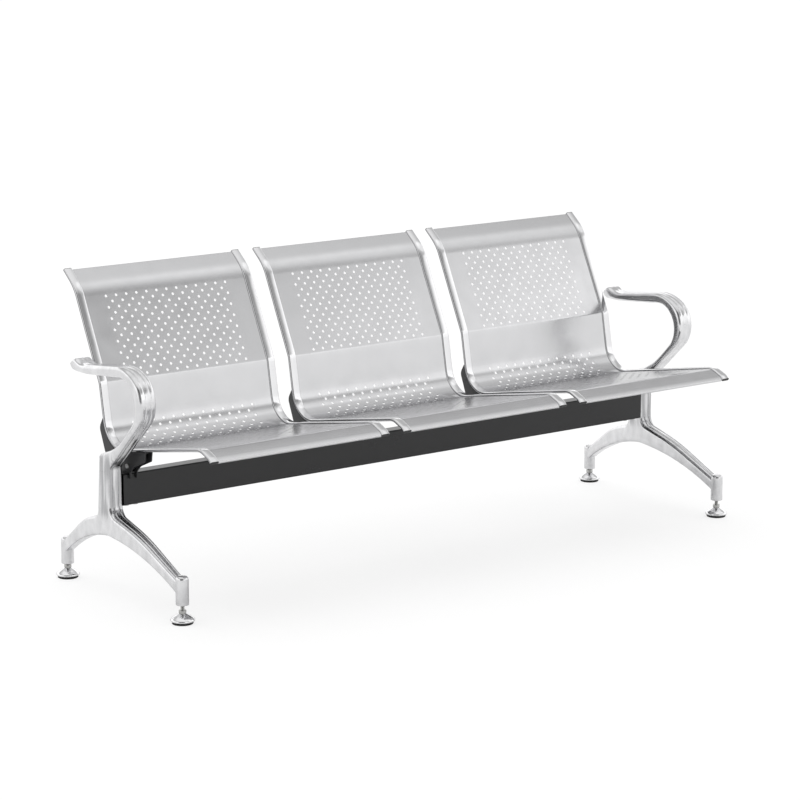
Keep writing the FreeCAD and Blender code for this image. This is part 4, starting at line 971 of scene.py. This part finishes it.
# Directions, each with the cosines at which it fades out and is full, and its change or the light it leaves.
PANELS = (((0.63, -0.294, 0.72), 0.970, 0.992, 0.45), ((0.41, -0.71, 0.574), 0.978, 0.994, -0.24))
DARK_SIDE = ((-0.62, -0.70, 0.35), 0.80, 0.93, 0.16)
CAMERA_PLACE = (-4.52945, -5.90954, 1.94374)
CAMERA_DOWN = 11.75
CAMERA_RIGHT = 37.3


def seamless_floor():
    """A wide white floor that takes the bench's soft shadow and shows part of its own glow to the camera."""
    mesh = bpy.data.meshes.new("floor")
    edge = FLOOR_REACH
    corners = [(-edge, -edge, 0), (edge, -edge, 0), (edge, edge, 0), (-edge, edge, 0)]
    mesh.from_pydata(corners, [], [(0, 1, 2, 3)])
    floor = bpy.data.objects.new("floor", mesh)
    bpy.context.scene.collection.objects.link(floor)
    material = bpy.data.materials.new("white_floor")
    material.use_nodes = True
    tree = material.node_tree
    surface = tree.nodes["Principled BSDF"]
    surface.inputs["Base Color"].default_value = (0.8, 0.8, 0.8, 1)
    surface.inputs["Roughness"].default_value = 1.0
    surface.inputs["Specular IOR Level"].default_value = 0.0
    glow = tree.nodes.new("ShaderNodeEmission")
    glow.inputs["Strength"].default_value = FLOOR_GLOW
    path = tree.nodes.new("ShaderNodeLightPath")
    share = math_result(tree, "MULTIPLY", path.outputs["Is Camera Ray"], FLOOR_GLOW_SHARE)
    pick = tree.nodes.new("ShaderNodeMixShader")
    tree.links.new(share, pick.inputs["Fac"])
    tree.links.new(surface.outputs["BSDF"], pick.inputs[1])
    tree.links.new(glow.outputs["Emission"], pick.inputs[2])
    tree.links.new(pick.outputs["Shader"], tree.nodes["Material Output"].inputs["Surface"])
    mesh.materials.append(material)


def overhead_light():
    """A very wide soft light from above and a little behind, which the metal doesn't mirror."""
    light = bpy.data.lights.new("overhead", "SUN")
    light.energy = 1.15
    light.angle = math.radians(70)
    lamp = bpy.data.objects.new("overhead", light)
    lamp.rotation_euler = (math.radians(-22), math.radians(4), 0)
    lamp.visible_glossy = False
    bpy.context.scene.collection.objects.link(lamp)


def surround():
    """White for the camera. Other rays meet a room with bright walls, a grey ceiling and one dark side."""
    world = bpy.data.worlds.new("surround")
    bpy.context.scene.world = world
    world.use_nodes = True
    tree = world.node_tree
    tree.nodes.clear()
    leave = tree.nodes.new("ShaderNodeOutputWorld")
    seen = tree.nodes.new("ShaderNodeBackground")
    seen.inputs["Color"].default_value = (1, 1, 1, 1)
    room = tree.nodes.new("ShaderNodeBackground")
    way = tree.nodes.new("ShaderNodeTexCoord").outputs["Generated"]
    parts = tree.nodes.new("ShaderNodeSeparateXYZ")
    tree.links.new(way, parts.inputs["Vector"])
    ramp = tree.nodes.new("ShaderNodeValToRGB")
    bar = ramp.color_ramp
    bar.elements.remove(bar.elements[1])
    for k, (degrees, tone) in enumerate(ROOM_TONES):
        stop = bar.elements[0] if k == 0 else bar.elements.new(math.sin(math.radians(degrees)))
        stop.color = (tone, tone, tone, 1)
    tree.links.new(parts.outputs["Z"], ramp.inputs["Fac"])
    light = ramp.outputs["Color"]
    for direction, far, near, change in PANELS:
        toward = vector_result(tree, "DOT_PRODUCT", way, direction)
        panel = carried(tree, toward, far, near, 0.0, change, "SMOOTHSTEP")
        light = vector_result(tree, "ADD", light, panel)
    tree.links.new(light, room.inputs["Color"])
    direction, far, near, left_over = DARK_SIDE
    toward = vector_result(tree, "DOT_PRODUCT", way, direction)
    tree.links.new(carried(tree, toward, far, near, 1.0, left_over, "SMOOTHSTEP"), room.inputs["Strength"])
    path = tree.nodes.new("ShaderNodeLightPath")
    pick = tree.nodes.new("ShaderNodeMixShader")
    tree.links.new(path.outputs["Is Camera Ray"], pick.inputs["Fac"])
    tree.links.new(room.outputs["Background"], pick.inputs[1])
    tree.links.new(seen.outputs["Background"], pick.inputs[2])
    tree.links.new(pick.outputs["Shader"], leave.inputs["Surface"])


def photographer():
    """The camera, at the place and with the lens that the photo's lines give."""
    lens = bpy.data.cameras.new("camera")
    lens.lens = 130.76
    lens.sensor_width = 36.0
    lens.clip_end = 200.0
    camera = bpy.data.objects.new("camera", lens)
    camera.location = CAMERA_PLACE
    camera.rotation_euler = (math.radians(90 - CAMERA_DOWN), 0, math.radians(-CAMERA_RIGHT))
    bpy.context.scene.collection.objects.link(camera)
    bpy.context.scene.camera = camera


seamless_floor()
surround()
overhead_light()
photographer()
bpy.context.scene.view_settings.view_transform = "Standard"
